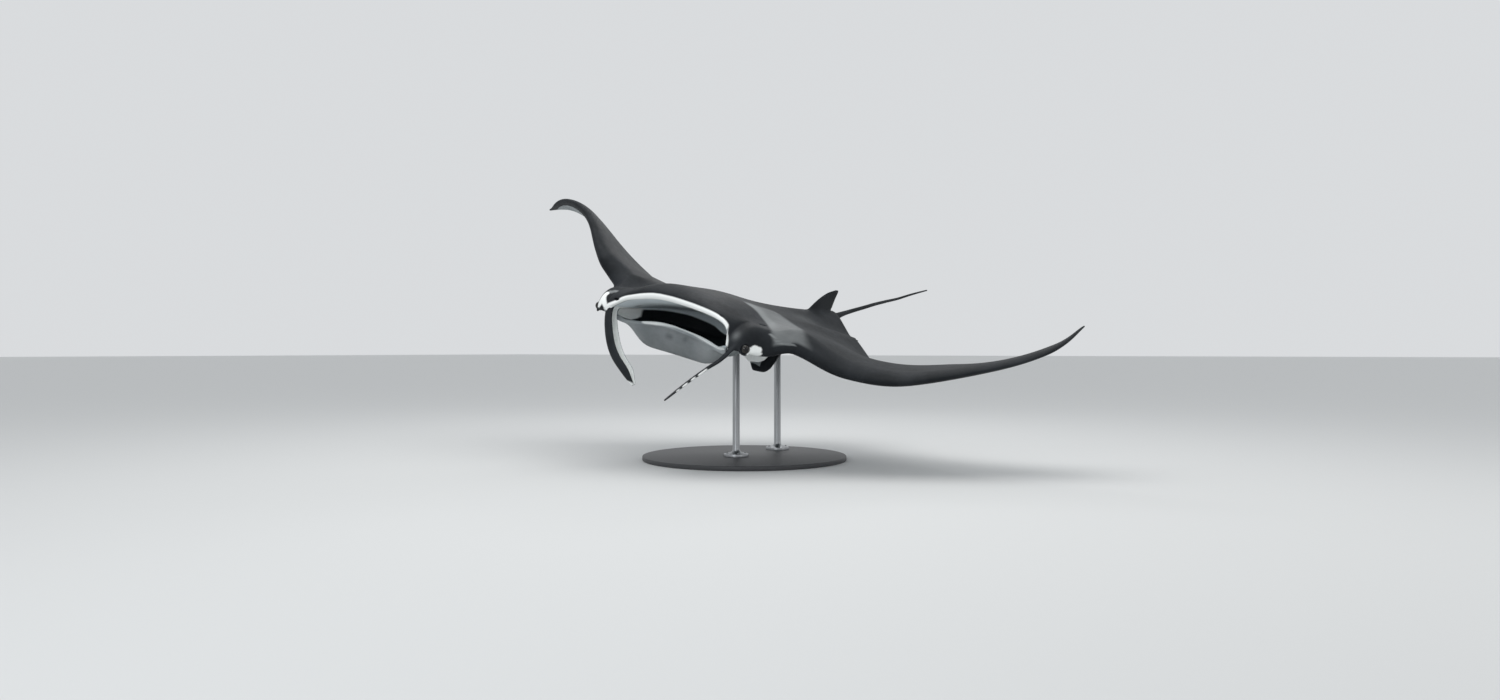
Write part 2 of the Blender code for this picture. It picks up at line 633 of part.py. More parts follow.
def taken(whole, name, planes):
    """Take the part of the whole that lies inside the planes, half a gap back from each."""
    back = [(Vector(place) - Vector(out).normalized() * GAP / 2, out) for place, out in planes]
    piece = mesh_object(name, whole.data.copy())
    combine(piece, region(back), "INTERSECT")
    keep_largest(piece)
    return piece


def reverse(plane):
    """The same plane seen from its other side."""
    place, out = plane
    return place, tuple(-value for value in out)


def wing_plane(side, span):
    """The plane square to a wing's middle line at a place along the span."""
    frame = LEFT_FRAME if side > 0 else RIGHT_FRAME
    _, across, up, angle, _ = (np.interp(span, frame[0], row) for row in frame)
    return (side * across, BEND_AXIS, up), (side * math.cos(angle), 0, math.sin(angle))


def body_whole():
    """Shape the disc flat with all that is fused to it, and bend it to the pose."""
    whole = loft("whole", [disc_ring(x) for x in disc_stations()])
    fuse(whole, [gill_flap(side, order) for side in (1, -1) for order in range(5)])
    fuse(whole, [eye_lid(side) for side in (1, -1)])
    for side in (1, -1):
        combine(whole, nostril(side), "DIFFERENCE")
        combine(whole, spiracle(side), "DIFFERENCE")
        combine(whole, eye_ball(side, EYE_RADIUS + GAP), "DIFFERENCE")
    bend_piece(whole)
    return whole


def part_body(whole):
    """Part the bent body into head, jaw, torso and the lengths of each wing."""
    neck = ((0, NECK, 0), (0, 1, 0))
    pieces = []
    roots = [((side * WING_ROOT, 0, 0), (side, 0, 0)) for side in (1, -1)]
    jaw_sides = [((side * JAW_HALF_WIDTH, 0, 0), (side, 0, 0)) for side in (1, -1)]
    jaw_top = ((0, 0, JAW_TOP), (-HEAD_DROOP, 0, 1))
    head = taken(whole, "head", roots + [neck])
    jaw = taken(whole, "lower_jaw", jaw_sides + [neck, jaw_top])
    wider = [(Vector(place) + Vector(out).normalized() * GAP / 2, out)
             for place, out in jaw_sides + [jaw_top]]
    combine(head, region(wider), "DIFFERENCE")
    keep_largest(head)
    pieces += [head, jaw, taken(whole, "torso", roots + [reverse(neck)])]
    for side, name in ((1, "pectoral_fin_left"), (-1, "pectoral_fin_right")):
        root = roots[0] if side > 0 else roots[1]
        first, second = (wing_plane(side, span) for span in WING_CUTS)
        pieces.append(taken(whole, name + "_root", [reverse(root), first]))
        pieces.append(taken(whole, name + "_middle", [reverse(first), second]))
        pieces.append(taken(whole, name + "_tip", [reverse(second)]))
    return pieces


def add_fins(pieces):
    """Set the head fins, back fin and pelvic fins on the body, each cut clear of what carries it."""
    head, jaw, torso = pieces[:3]
    fins = [left_cephalic_fin(), right_cephalic_fin(), dorsal_fin(), pelvic_fin(1), pelvic_fin(-1)]
    for fin in fins:
        bend_piece(fin)
    for fin, carriers in zip(fins, ([head, jaw], [head, jaw], [torso], [torso], [torso])):
        for carrier in carriers:
            for depth in (GAP * 1.1, GAP * 0.4, GAP * 0.05):
                combine(fin, swollen(carrier, depth), "DIFFERENCE")
        keep_largest(fin)
    return pieces + fins


def add_tail(pieces):
    """Set the tail on the torso in three lengths."""
    torso = pieces[2]
    fins = [piece for piece in pieces if piece.name.startswith(("dorsal", "pelvic"))]
    tail = tail_tube()
    for neighbour in [torso] + fins:
        combine(tail, swollen(neighbour), "DIFFERENCE")
    keep_largest(tail)
    cuts = [((0, 1.72, 0), (0, 1, 0)), ((0, 2.16, 0), (0, 1, 0))]
    lengths = [taken(tail, "tail_base", cuts[:1]),
               taken(tail, "tail_middle", [reverse(cuts[0]), cuts[1]]),
               taken(tail, "tail_tip", [reverse(cuts[1])])]
    bpy.data.objects.remove(tail)
    return pieces + lengths


def bank(pieces):
    """Bank the body to its left and lift it over the stand."""
    attitude = Matrix.Rotation(PITCH, 4, "X") @ Matrix.Rotation(ROLL, 4, "Y")
    for piece in pieces:
        piece.data.transform(Matrix.Translation(BODY_PLACE) @ attitude)


def stand_base():
    """A round weighted plate with a bevelled rim."""
    bpy.ops.mesh.primitive_cylinder_add(vertices=56, radius=BASE_RADIUS, depth=BASE_THICKNESS,
                                        location=(0, 0, BASE_THICKNESS / 2))
    base = bpy.context.object
    base.name = "stand_base"
    bevel = base.modifiers.new("rim", "BEVEL")
    bevel.width = 0.004
    bevel.segments = 1
    bevel.limit_method = "ANGLE"
    return base


def stand_rod(name, y, torso):
    """A turned rod with a foot flange, its top cut to lie against the belly."""
    floor = BASE_THICKNESS + GAP
    top = floor + STAND_HEIGHT
    profile = [(0, top), (ROD_RADIUS, top), (ROD_RADIUS, floor + 0.03), (0.026, floor + 0.018),
               (FLANGE_RADIUS - 0.003, floor + 0.012), (FLANGE_RADIUS, floor + 0.009),
               (FLANGE_RADIUS, floor), (0, floor)]
    mesh = bpy.data.meshes.new(name)
    mesh.from_pydata([(r, 0, z) for r, z in profile],
                     [(k, k + 1) for k in range(len(profile) - 1)], [])
    rod = mesh_object(name, mesh)
    turned = rod.modifiers.new("turned", "SCREW")
    turned.steps = turned.render_steps = 20
    turned.use_merge_vertices = True
    turned.merge_threshold = 0.0001
    settle(rod)
    rod.data.transform(Matrix.Translation((0, y, 0)))
    combine(rod, swollen(torso), "DIFFERENCE")
    shape = bmesh.new()
    shape.from_mesh(rod.data)
    above = [vertex for vertex in shape.verts if vertex.co.z > STAND_HEIGHT]
    bmesh.ops.delete(shape, geom=above, context="VERTS")
    shape.to_mesh(rod.data)
    shape.free()
    return rod


def material(name):
    """A plain finish by its name in the colour list."""
    finish = bpy.data.materials.get(name)
    if finish is None:
        finish = bpy.data.materials.new(name)
        finish.use_nodes = True
        shader = finish.node_tree.nodes["Principled BSDF"]
        colour, roughness = COLOURS[name]
        shader.inputs["Base Color"].default_value = colour
        shader.inputs["Roughness"].default_value = roughness
        shader.inputs["Metallic"].default_value = 1.0 if name == "steel" else 0.0
    return finish


def finish_name(piece):
    """Choose the finish that a node takes."""
    if piece.name.startswith("eye"):
        return "eye"
    if piece.name == "stand_base":
        return "base"
    if piece.name.startswith("stand"):
        return "steel"
    if piece.name in ("lower_jaw", "cephalic_fin_left", "cephalic_fin_right"):
        return "pale_skin"
    return "dark_skin"


def collect(pieces):
    """Put the finished nodes in a collection of their own, each with its finish."""
    group = bpy.data.collections.new("manta_ray")
    bpy.context.scene.collection.children.link(group)
    for piece in pieces:
        for owner in list(piece.users_collection):
            owner.objects.unlink(piece)
        group.objects.link(piece)
        piece.data.materials.clear()
        piece.data.materials.append(material(finish_name(piece)))
        piece.data.shade_smooth()
        piece.data.set_sharp_from_angle(angle=math.radians(40))


def main():
    """Build the ray and its stand."""
    for old in list(bpy.data.objects):
        bpy.data.objects.remove(old)
    whole = body_whole()
    pieces = add_tail(add_fins(part_body(whole)))
    eyes = [eye_ball(side, EYE_RADIUS) for side in (1, -1)]
    for eye in eyes:
        bend_piece(eye)
    pieces += eyes
    bpy.data.objects.remove(whole)
    bank(pieces)
    torso = pieces[2]
    rods = [stand_rod("stand_rod_" + name, y, torso) for name, y in ROD_PLACES.items()]
    collect(pieces + rods + [stand_base()])


main()
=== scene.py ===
"""A life-size manta ray, feeding with its mouth open and banked to its left, on a display stand.

The ray is shaped flat and level first: x runs to its left, y to its tail and z up, from the middle
of the mouth. Then it is bent, banked and lifted on to the stand. All sizes are metres.
"""

import math

import bmesh
import bpy
import numpy as np
from mathutils import Matrix, Vector
from mathutils.kdtree import KDTree


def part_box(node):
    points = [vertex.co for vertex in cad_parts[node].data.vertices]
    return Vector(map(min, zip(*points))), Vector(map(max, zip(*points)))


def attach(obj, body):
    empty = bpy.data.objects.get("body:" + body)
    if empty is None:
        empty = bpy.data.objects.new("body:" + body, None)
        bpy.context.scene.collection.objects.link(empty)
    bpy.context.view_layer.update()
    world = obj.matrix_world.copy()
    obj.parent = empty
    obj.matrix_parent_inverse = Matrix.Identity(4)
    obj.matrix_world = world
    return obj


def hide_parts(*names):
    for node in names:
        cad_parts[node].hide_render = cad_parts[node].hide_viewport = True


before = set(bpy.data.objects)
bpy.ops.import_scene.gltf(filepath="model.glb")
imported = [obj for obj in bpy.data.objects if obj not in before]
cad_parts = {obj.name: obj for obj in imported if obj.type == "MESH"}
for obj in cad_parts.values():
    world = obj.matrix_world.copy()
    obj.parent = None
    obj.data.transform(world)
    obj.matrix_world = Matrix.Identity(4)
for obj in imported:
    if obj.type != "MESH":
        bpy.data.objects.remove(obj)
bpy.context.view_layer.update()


# Camera
# Level and low on the ray's front left, as the photograph was taken. Its place is measured from
# the middle of the mouth, and its wide lens gives the photograph's perspective.
MOUTH_PLACE = Vector((0.0, -0.61, 0.6))
CAMERA_PLACE = MOUTH_PLACE + Vector((2.381, -3.242, -0.106))
CAMERA_HEADING = Vector((-0.521, 0.8535, 0.0))
LENS_MM, SENSOR_MM = 24, 36


def add_object(name, data):
    """Put an object in the scene."""
    thing = bpy.data.objects.new(name, data)
    bpy.context.scene.collection.objects.link(thing)
    return thing


camera_lens = bpy.data.cameras.new("camera")
camera_lens.lens = LENS_MM
camera_lens.sensor_width = SENSOR_MM
camera = add_object("camera", camera_lens)
camera.location = CAMERA_PLACE
camera.rotation_euler = CAMERA_HEADING.to_track_quat("-Z", "Y").to_euler()
bpy.context.scene.camera = camera


# Floor and light
# A plain pale studio floor that runs out of sight, under a pale even surround. One wide soft light
# hangs over the ray, weak ones fill its front and near side, and a small one edges its crown.
FLOOR_SIZE = 160
FLOOR_COLOUR = (0.66, 0.67, 0.67, 1)
FLOOR_ROUGHNESS = 0.8
SURROUND_COLOUR = (0.87, 0.89, 0.91, 1)
SURROUND_STRENGTH = 0.8
LIGHTS = [
    ("overhead", (0.2, -0.6, 3.6), (0.0, -0.1, 0.7), 3.0, 60, (1.0, 0.99, 0.97)),
    ("front", (1.1, -5.4, 2.0), (0.0, -0.5, 0.7), 1.6, 38, (0.94, 0.97, 1.0)),
    ("side", (4.6, -0.6, 1.6), (0.2, 0.0, 0.6), 2.0, 12, (1.0, 0.98, 0.95)),
    ("crown", (-1.2, 2.4, 2.6), (0.0, 0.0, 0.8), 0.6, 10, (1.0, 1.0, 1.0))]


def set_node(node, **values):
    """Set a shader node's properties by name, and set or link its sockets."""
    for key, value in values.items():
        if hasattr(node, key):
            setattr(node, key, value)
            continue
        socket = node.inputs[int(key[3:]) if key.startswith("in_") else key.replace("_", " ")]
        if isinstance(value, bpy.types.NodeSocket):
            node.id_data.links.new(value, socket)
        else:
            socket.default_value = value


def new_material(name):
    """A new material, its node tree and its shader."""
    material = bpy.data.materials.new(name)
    material.use_nodes = True
    return material, material.node_tree, material.node_tree.nodes["Principled BSDF"]


bpy.context.scene.view_settings.view_transform = "Standard"

bpy.ops.mesh.primitive_plane_add(size=FLOOR_SIZE)
floor = bpy.context.object
floor.name = "floor"
floor_paint, tree, shader = new_material("floor_paint")
set_node(shader, Base_Color=FLOOR_COLOUR, Roughness=FLOOR_ROUGHNESS)
floor.data.materials.append(floor_paint)

surround = bpy.data.worlds.new("surround")
surround.use_nodes = True
set_node(surround.node_tree.nodes["Background"], Color=SURROUND_COLOUR, Strength=SURROUND_STRENGTH)
bpy.context.scene.world = surround

for name, place, aim, size, power, colour in LIGHTS:
    lamp = bpy.data.lights.new(name, "AREA")
    lamp.shape = "SQUARE"
    lamp.size = size
    lamp.energy = power
    lamp.color = colour
    lamp_object = add_object(name, lamp)
    lamp_object.location = place
    lamp_object.rotation_euler = (Vector(aim) - Vector(place)).to_track_quat("-Z", "Y").to_euler()


# Disc
# The flat body and both wings are one smooth form of muscle and cartilage with the open mouth at
# its front. It is skinned from rings across it, each running back over the top, round the lips,
# through the mouth and back along the belly.
HALF_SPAN = 1.6
WING_PLANE = 0.026
EDGE_HALF_THICKNESS = 0.0015
MOUTH_HALF_WIDTH = 0.31
MOUTH_DEPTH = 0.36
MOUTH_LEAST_DEPTH = 0.03
LIP_RADIUS, LIP_TAPER = 0.013, 0.7
LIP_FRONT, UPPER_LIP_REACH, LOWER_LIP_SETBACK = -0.005, 0.015, 0.115
LIP_WRAP, LIP_FRONT_SHARE = 60, 0.4
ROOF_END = 0.045
FLOOR_END = -0.035
FLOOR_SAG = 0.045
LEADING_EDGE = [
    (0.31, -0.005), (0.352, 0.0), (0.382, 0.03), (0.415, 0.09), (0.46, 0.145), (0.54, 0.185),
    (0.64, 0.213), (0.8, 0.262), (0.96, 0.323), (1.12, 0.416), (1.28, 0.528), (1.44, 0.672),
    (1.536, 0.784), (1.6, 0.902)]
TRAILING_EDGE = [
    (0.0, 1.408), (0.096, 1.396), (0.192, 1.335), (0.26, 1.256), (0.33, 1.228), (0.4, 1.19), (0.48, 1.136),
    (0.64, 1.024), (0.8, 0.944), (0.96, 0.896), (1.12, 0.864), (1.28, 0.858), (1.44, 0.87), (1.536, 0.896),
    (1.6, 0.93)]
UPPER_LIP = [
    (-0.31, 0.0), (-0.302, 0.01), (-0.29, 0.018), (-0.27, 0.03), (-0.25, 0.043), (-0.21, 0.067),
    (-0.17, 0.0795), (-0.13, 0.0885), (-0.09, 0.0962), (-0.05, 0.1015), (0.0, 0.1055), (0.07, 0.1078),
    (0.11, 0.1074), (0.15, 0.1052), (0.19, 0.1022), (0.23, 0.097), (0.25, 0.0925), (0.27, 0.0855),
    (0.29, 0.0715), (0.302, 0.051), (0.31, 0.0)]
LOWER_LIP = [
    (-0.31, 0.0), (-0.29, -0.024), (-0.27, -0.034), (-0.25, -0.0375), (-0.21, -0.0353), (-0.17, -0.0283),
    (-0.13, -0.0224), (-0.09, -0.0198), (-0.05, -0.0198), (0.0, -0.0234), (0.07, -0.0272), (0.11, -0.0303),
    (0.15, -0.0348), (0.19, -0.0413), (0.23, -0.0446), (0.25, -0.043), (0.27, -0.037), (0.29, -0.025),
    (0.31, 0.0)]
EDGE_HEIGHT = [(0.31, 0.0), (0.37, 0.002), (0.45, 0.014), (0.55, WING_PLANE), (1.6, WING_PLANE)]
RISE = [
    (0.0, 0.115), (0.2, 0.094), (0.31, 0.074), (0.42, 0.064), (0.6, 0.047), (0.8, 0.036), (1.0, 0.027),
    (1.2, 0.019), (1.4, 0.012), (1.55, 0.006), (1.6, 0.003)]
DROP = [
    (0.0, 0.108), (0.1, 0.095), (0.2, 0.066), (0.25, 0.052), (0.32, 0.045), (0.42, 0.041), (0.6, 0.035),
    (0.8, 0.025), (1.0, 0.018), (1.2, 0.013), (1.4, 0.008), (1.55, 0.004), (1.6, 0.003)]
NOSE_LENGTH = [(0.0, 0.13), (0.31, 0.14), (0.37, 0.11), (0.45, 0.1), (1.6, 0.1)]
NOSE_SHARE = 0.22
CHIN_STEEPNESS = 0.65
THICKEST = 0.3
FULLNESS = 1.6
CHIN_DEPTH, CHIN_X, CHIN_Y, CHIN_LENGTH, CHIN_HALF_WIDTH = 0.16, -0.042, 0.19, 0.13, 0.218
CROWN_RISE, CROWN_Y, CROWN_LENGTH, CROWN_HALF_WIDTH = 0.026, 0.22, 0.28, 0.25
STUB_HEIGHT, STUB_HALF_WIDTH = 0.046, 0.09
REAR_LIFT, REAR_HALF_WIDTH = 0.072, 0.15
JAW_LEAST = 0.01
NOSE_ROWS, BACK_ROWS, LIP_ROWS, MOUTH_ROWS, THROAT_ROWS = 16, 70, 10, 28, 8
MOUTH_STATIONS, HEAD_STATIONS, WING_STATIONS = 26, 18, 96
WING_ROOT, STATION_CROWDING = 0.44, 1.25
AWAY = 0.3


def smooth(points, at):
    """Read a smooth curve through (place, value) points, with no overshoot."""
    places, values = np.array(points, float).T
    steps = np.diff(places)
    slopes = np.diff(values) / steps
    tangents = np.zeros(len(places))
    tangents[0], tangents[-1] = slopes[0], slopes[-1]
    for k in range(1, len(places) - 1):
        if slopes[k - 1] * slopes[k] > 0:
            near, far = 2 * steps[k] + steps[k - 1], steps[k] + 2 * steps[k - 1]
            tangents[k] = (near + far) / (near / slopes[k - 1] + far / slopes[k])
    at = np.clip(at, places[0], places[-1])
    cell = np.clip(np.searchsorted(places, at) - 1, 0, len(steps) - 1)
    t = (at - places[cell]) / steps[cell]
    start = (1 + 2 * t) * (1 - t) ** 2 * values[cell] + t ** 2 * (3 - 2 * t) * values[cell + 1]
    bow = t * (1 - t) ** 2 * tangents[cell] - t ** 2 * (1 - t) * tangents[cell + 1]
    return start + bow * steps[cell]


def ease(t):
    """Ramp gently from 0 to 1."""
    t = np.clip(t, 0, 1)
    return t * t * (3 - 2 * t)


def skin_height(x, y, sheet):
    """Height of the back (sheet 1) or the belly (sheet -1) behind the nose."""
    span = abs(x)
    front = smooth(LEADING_EDGE, max(span, MOUTH_HALF_WIDTH))
    rear = smooth(TRAILING_EDGE, span)
    share = np.clip(((y - front) / (rear - front) - THICKEST) / (1 - THICKEST), 0, 1)
    full = 1 - share ** FULLNESS
    stub = EDGE_HALF_THICKNESS + STUB_HEIGHT * math.exp(-(span / STUB_HALF_WIDTH) ** 2)
    lift = REAR_LIFT * math.exp(-(span / REAR_HALF_WIDTH) ** 2) * share ** 2.5
    if sheet > 0:
        away = ((y - CROWN_Y) / CROWN_LENGTH) ** 2 + (span / CROWN_HALF_WIDTH) ** 4
        reach = smooth(RISE, span) + CROWN_RISE * np.exp(-away)
    else:
        away = ((y - CHIN_Y) / CHIN_LENGTH) ** 2 + ((x - CHIN_X) / CHIN_HALF_WIDTH) ** 8
        reach = smooth(DROP, span)
        reach = reach + (CHIN_DEPTH - reach) * np.exp(-away)
    return WING_PLANE + lift + sheet * (reach * full + stub * (1 - full))


def sheet_rows(x, start, nose, sheet):
    """Points of one face from its front edge, start, back to the rear edge, as (y, z)."""
    turns = np.arange(NOSE_ROWS + 1) / NOSE_ROWS * math.pi / 2
    y = start[0] + nose * (1 - np.cos(turns))
    z = start[1] + (skin_height(x, y, sheet) - start[1]) * np.sin(turns)
    back = np.arange(1, BACK_ROWS + 1) / BACK_ROWS
    y_back = y[-1] + (smooth(TRAILING_EDGE, abs(x)) - y[-1]) * back
    z_back = skin_height(x, y_back, sheet)
    return list(zip(np.append(y, y_back), np.append(z, z_back)))


def arc_rows(centre, radius, first, last):
    """Points round a lip, by angles from straight ahead, up positive."""
    turns = np.radians(first + (last - first) * np.arange(LIP_ROWS + 1) / LIP_ROWS)
    return [(centre[0] - radius * math.cos(a), centre[1] + radius * math.sin(a)) for a in turns]


def mouth_rows(x):
    """Lips, roof, throat and floor of the mouth at one place across it."""
    share = abs(x) / MOUTH_HALF_WIDTH
    open_share = math.sqrt(max(1 - share ** 2, 0))
    radius = LIP_RADIUS * open_share ** LIP_TAPER
    setback = LOWER_LIP_SETBACK * (1 - share ** 6)
    upper = (LIP_FRONT - UPPER_LIP_REACH * open_share + radius, float(smooth(UPPER_LIP, x)))
    lower = (LIP_FRONT + setback + radius, float(smooth(LOWER_LIP, x)))
    top_lip = arc_rows(upper, radius, LIP_WRAP, -90)
    low_lip = arc_rows(lower, radius, 90, -LIP_WRAP)
    depth = MOUTH_LEAST_DEPTH + MOUTH_DEPTH * open_share
    way = np.arange(1, MOUTH_ROWS + 1) / MOUTH_ROWS
    inner, rim = top_lip[-1], low_lip[0]
    roof_y = inner[0] + (depth - inner[0]) * way
    roof_z = inner[1] + (ROOF_END * open_share - inner[1]) * way ** 1.5
    floor_y = rim[0] + (depth - rim[0]) * way
    sag = FLOOR_SAG * open_share ** 2 * np.sin(way * math.pi)
    floor_z = rim[1] + (FLOOR_END * open_share - rim[1]) * way - sag
    floor_z = np.maximum(floor_z, skin_height(x, floor_y, -1) + JAW_LEAST)
    roof = list(zip(roof_y, roof_z))
    floor_points = list(zip(floor_y, floor_z))[::-1]
    throat = [(depth, roof[-1][1] + (floor_points[0][1] - roof[-1][1]) * k / THROAT_ROWS)
              for k in range(1, THROAT_ROWS)]
    return top_lip, roof + throat + floor_points, low_lip


def disc_ring(x):
    """A ring of the disc, with each point's ways back, into the mouth and to the rear."""
    span = abs(x)
    if span < MOUTH_HALF_WIDTH - 1e-6:
        top_lip, cavity, low_lip = mouth_rows(x)
    else:
        edge = (float(smooth(LEADING_EDGE, span)), float(smooth(EDGE_HEIGHT, span)))
        top_lip = low_lip = [edge] * (LIP_ROWS + 1)
        cavity = [edge] * (MOUTH_ROWS * 2 + THROAT_ROWS - 1)
    front = smooth(LEADING_EDGE, max(span, MOUTH_HALF_WIDTH))
    nose = min(float(smooth(NOSE_LENGTH, span)), NOSE_SHARE * (smooth(TRAILING_EDGE, span) - front))
    back = sheet_rows(x, top_lip[0], nose, 1)
    belly = sheet_rows(x, low_lip[-1], nose * CHIN_STEEPNESS, -1)
    rows = np.array(back[::-1] + top_lip[1:] + cavity + low_lip[:-1] + belly)
    run = np.append(0, np.cumsum(np.linalg.norm(np.diff(rows, axis=0), axis=1)))
    upper = len(back) - 1 + round(LIP_FRONT_SHARE * LIP_ROWS)
    lower = len(rows) - len(belly) - round(LIP_FRONT_SHARE * LIP_ROWS)
    place = np.arange(len(rows))
    forward = np.where(place <= upper, run[upper] - run, np.where(place >= lower, run[lower] - run, 0))
    inward = np.where((place > upper) & (place < lower),
                      np.minimum(run - run[upper], run[lower] - run), 0)
    rearward = np.where(place <= upper, run, run[-1] - run)
    roof = np.where(place < upper + LIP_ROWS + MOUTH_ROWS, 1, 0)
    points = np.column_stack([np.full(len(rows), x), rows])
    return points, np.column_stack([forward, inward, rearward, roof])


def loft(name, rings):
    """Skin a row of rings. A ring runs out along one face and back along the other."""
    shape = bmesh.new()
    grid = [[shape.verts.new(point) for point in ring] for ring in rings]
    count = len(grid[0])
    for ring, following in zip(grid, grid[1:]):
        for j in range(count):
            k = (j + 1) % count
            a, b, c, d = ring[j], ring[k], following[k], following[j]
            for face in ((a, b, c), (a, c, d)) if j < count // 2 else ((a, b, d), (b, c, d)):
                shape.faces.new(face)
    for ring in (grid[0], grid[-1]):
        for j in range(count // 2 - 1):
            a, b, c, d = ring[j], ring[j + 1], ring[-j - 2], ring[-j - 1]
            shape.faces.new((a, b, c))
            shape.faces.new((a, c, d))
    bmesh.ops.remove_doubles(shape, verts=shape.verts, dist=1e-6)
    bmesh.ops.dissolve_degenerate(shape, edges=shape.edges, dist=1e-7)
    bmesh.ops.recalc_face_normals(shape, faces=shape.faces)
    mesh = bpy.data.meshes.new(name)
    shape.to_mesh(mesh)
    shape.free()
    return add_object(name, mesh)


mouth_places = [MOUTH_HALF_WIDTH * math.sin(k / MOUTH_STATIONS * math.pi / 2)
                for k in range(MOUTH_STATIONS + 1)]
head_places = [MOUTH_HALF_WIDTH + (WING_ROOT - MOUTH_HALF_WIDTH) * k / HEAD_STATIONS
               for k in range(1, HEAD_STATIONS + 1)]
wing_places = [WING_ROOT + (HALF_SPAN - WING_ROOT) * (1 - (1 - k / WING_STATIONS) ** STATION_CROWDING)
               for k in range(1, WING_STATIONS + 1)]
half_places = mouth_places + head_places + wing_places
disc_places = [-x for x in half_places[:0:-1]] + half_places
disc_rings = [disc_ring(x) for x in disc_places]
skin = loft("skin", [points for points, _ in disc_rings])

# Each source point is kept with its way back from the front edge (belly negative), into the mouth
# and to the rear, whether it is over the mouth's middle, and its head fin and flap
source_points = [np.concatenate([points for points, _ in disc_rings])]
source_facts = [np.column_stack([np.concatenate([facts for _, facts in disc_rings]),
                                 np.zeros((len(source_points[0]), 2))])]


def note_points(rings, forward, part=(0, 0)):
    """Keep a part's points with their way from its edges and which part it is."""
    points = np.concatenate([np.array([tuple(p) for p in ring]) for ring in rings])
    count = len(points)
    facts = np.column_stack([np.concatenate(forward), np.zeros(count), np.full(count, AWAY),
                             np.zeros(count), np.tile(part, (count, 1))])
    source_points.append(points)
    source_facts.append(facts)


# Head fins
# The two cephalic fins are thin plates of cartilage at the corners of the mouth. The left one is
# spread flat, and the right one is rolled lengthwise, open towards the mouth.
LEFT_FIN = dict(
    path=[(0.336, 0.035, 0.018), (0.305, 0.0, -0.055), (0.262, -0.012, -0.105),
          (0.212, -0.015, -0.16), (0.158, -0.015, -0.222), (0.108, -0.015, -0.283)],
    lengths=[(0.0, 0.07), (0.2, 0.12), (0.5, 0.155), (0.8, 0.13), (0.95, 0.075), (1.0, 0.03)],
    thicknesses=[(0.0, 0.022), (0.25, 0.013), (0.7, 0.009), (1.0, 0.006)],
    chord=Vector((0.54, -0.83, 0.15)), facing=Vector((0.8, 0.55, -0.4)), curl=math.radians(11))
RIGHT_FIN = dict(
    path=[(-0.318, 0.058, 0.045), (-0.308, 0.018, -0.001), (-0.281, -0.003, -0.064),
          (-0.242, -0.011, -0.133), (-0.187, -0.018, -0.191), (-0.12, -0.016, -0.24),
          (-0.07, -0.009, -0.275)],
    lengths=[(0.0, 0.08), (0.2, 0.094), (0.5, 0.111), (0.8, 0.102), (1.0, 0.03)],
    thicknesses=[(0.0, 0.02), (0.3, 0.012), (0.7, 0.009), (1.0, 0.006)],
    chord=Vector((0.17, -0.98, 0.0)), facing=Vector((0.98, 0.17, 0.0)), curl=math.radians(245))
FIN_STATIONS, FIN_ROWS, FIN_EDGE = 44, 26, 0.0004


def curled_ring(middle, chord, facing, length, curl, thickness):
    """A ring round a thin plate that curls lengthwise, with its way from the edges."""
    radius = length / curl
    outer, inner, way = [], [], []
    for k in range(FIN_ROWS + 1):
        share = -math.cos(math.pi * k / FIN_ROWS)
        turn = share * curl / 2
        place = middle + chord * (radius * math.sin(turn)) + facing * (radius * (1 - math.cos(turn)))
        away = facing * -math.cos(turn) + chord * math.sin(turn)
        half = thickness / 2 * math.sqrt(max(1 - share ** 4, 0.0)) + FIN_EDGE
        outer.append(place + away * half)
        inner.append(place - away * half)
        way.append(length / 2 * (1 - abs(share)))
    return outer + inner[::-1], np.array(way + [-w for w in way[::-1]])


def head_fin(number, path, lengths, thicknesses, chord, facing, curl):
    """A plate that hangs from the side of the mouth along a curved path."""
    rings, ways = [], []
    shares = np.linspace(0, 1, len(path))
    spine = np.array([[smooth(list(zip(shares, row)), t) for row in np.array(path).T]
                      for t in np.linspace(0, 1, FIN_STATIONS)])
    for k, (place, run) in enumerate(zip(spine, np.gradient(spine, axis=0))):
        t = k / (FIN_STATIONS - 1)
        along = Vector(run).normalized()
        width = (chord - along * chord.dot(along)).normalized()
        face = along.cross(width)
        if face.dot(facing) < 0:
            face = -face
        ring, way = curled_ring(Vector(place), width, face, float(smooth(lengths, t)), curl,
                                float(smooth(thicknesses, t)))
        rings.append(ring)
        ways.append(way)
    note_points(rings, ways, (number, 0))
    return loft("head_fin", rings)


fused_parts = [head_fin(1, **LEFT_FIN), head_fin(2, **RIGHT_FIN)]


# Back fin and belly fins
# A small swept dorsal fin stands at the root of the tail, and two rounded pelvic fins lie under the
# disc's rear. All are thin plates with round front edges.
DORSAL_OUTLINE = [
    (0.06, 1.1, 1.37), (0.12, 1.125, 1.375), (0.15, 1.165, 1.388), (0.18, 1.205, 1.395),
    (0.21, 1.255, 1.403), (0.235, 1.31, 1.412), (0.248, 1.36, 1.416), (0.254, 1.385, 1.41)]
DORSAL_THICKNESS = [(0.06, 0.034), (0.14, 0.026), (0.254, 0.006)]
PELVIC_OUTLINE = [
    (0.0, 1.24, 0.1), (0.2, 1.26, 0.16), (0.45, 1.295, 0.19), (0.7, 1.335, 0.165), (0.9, 1.365, 0.11),
    (1.0, 1.385, 0.04)]
PELVIC_THICKNESS = [(0.0, 0.03), (0.4, 0.018), (1.0, 0.006)]
PELVIC_INNER, PELVIC_REACH, PELVIC_FORWARD, PELVIC_TOP, PELVIC_DROP = 0.03, 0.16, 0.01, 0.052, 0.025
DORSAL_STATIONS, PELVIC_STATIONS, PLATE_ROWS = 30, 20, 14


def column(table, number, at):
    """Read a column of a table smoothly, by its first column."""
    return float(smooth([(row[0], row[number]) for row in table], at))


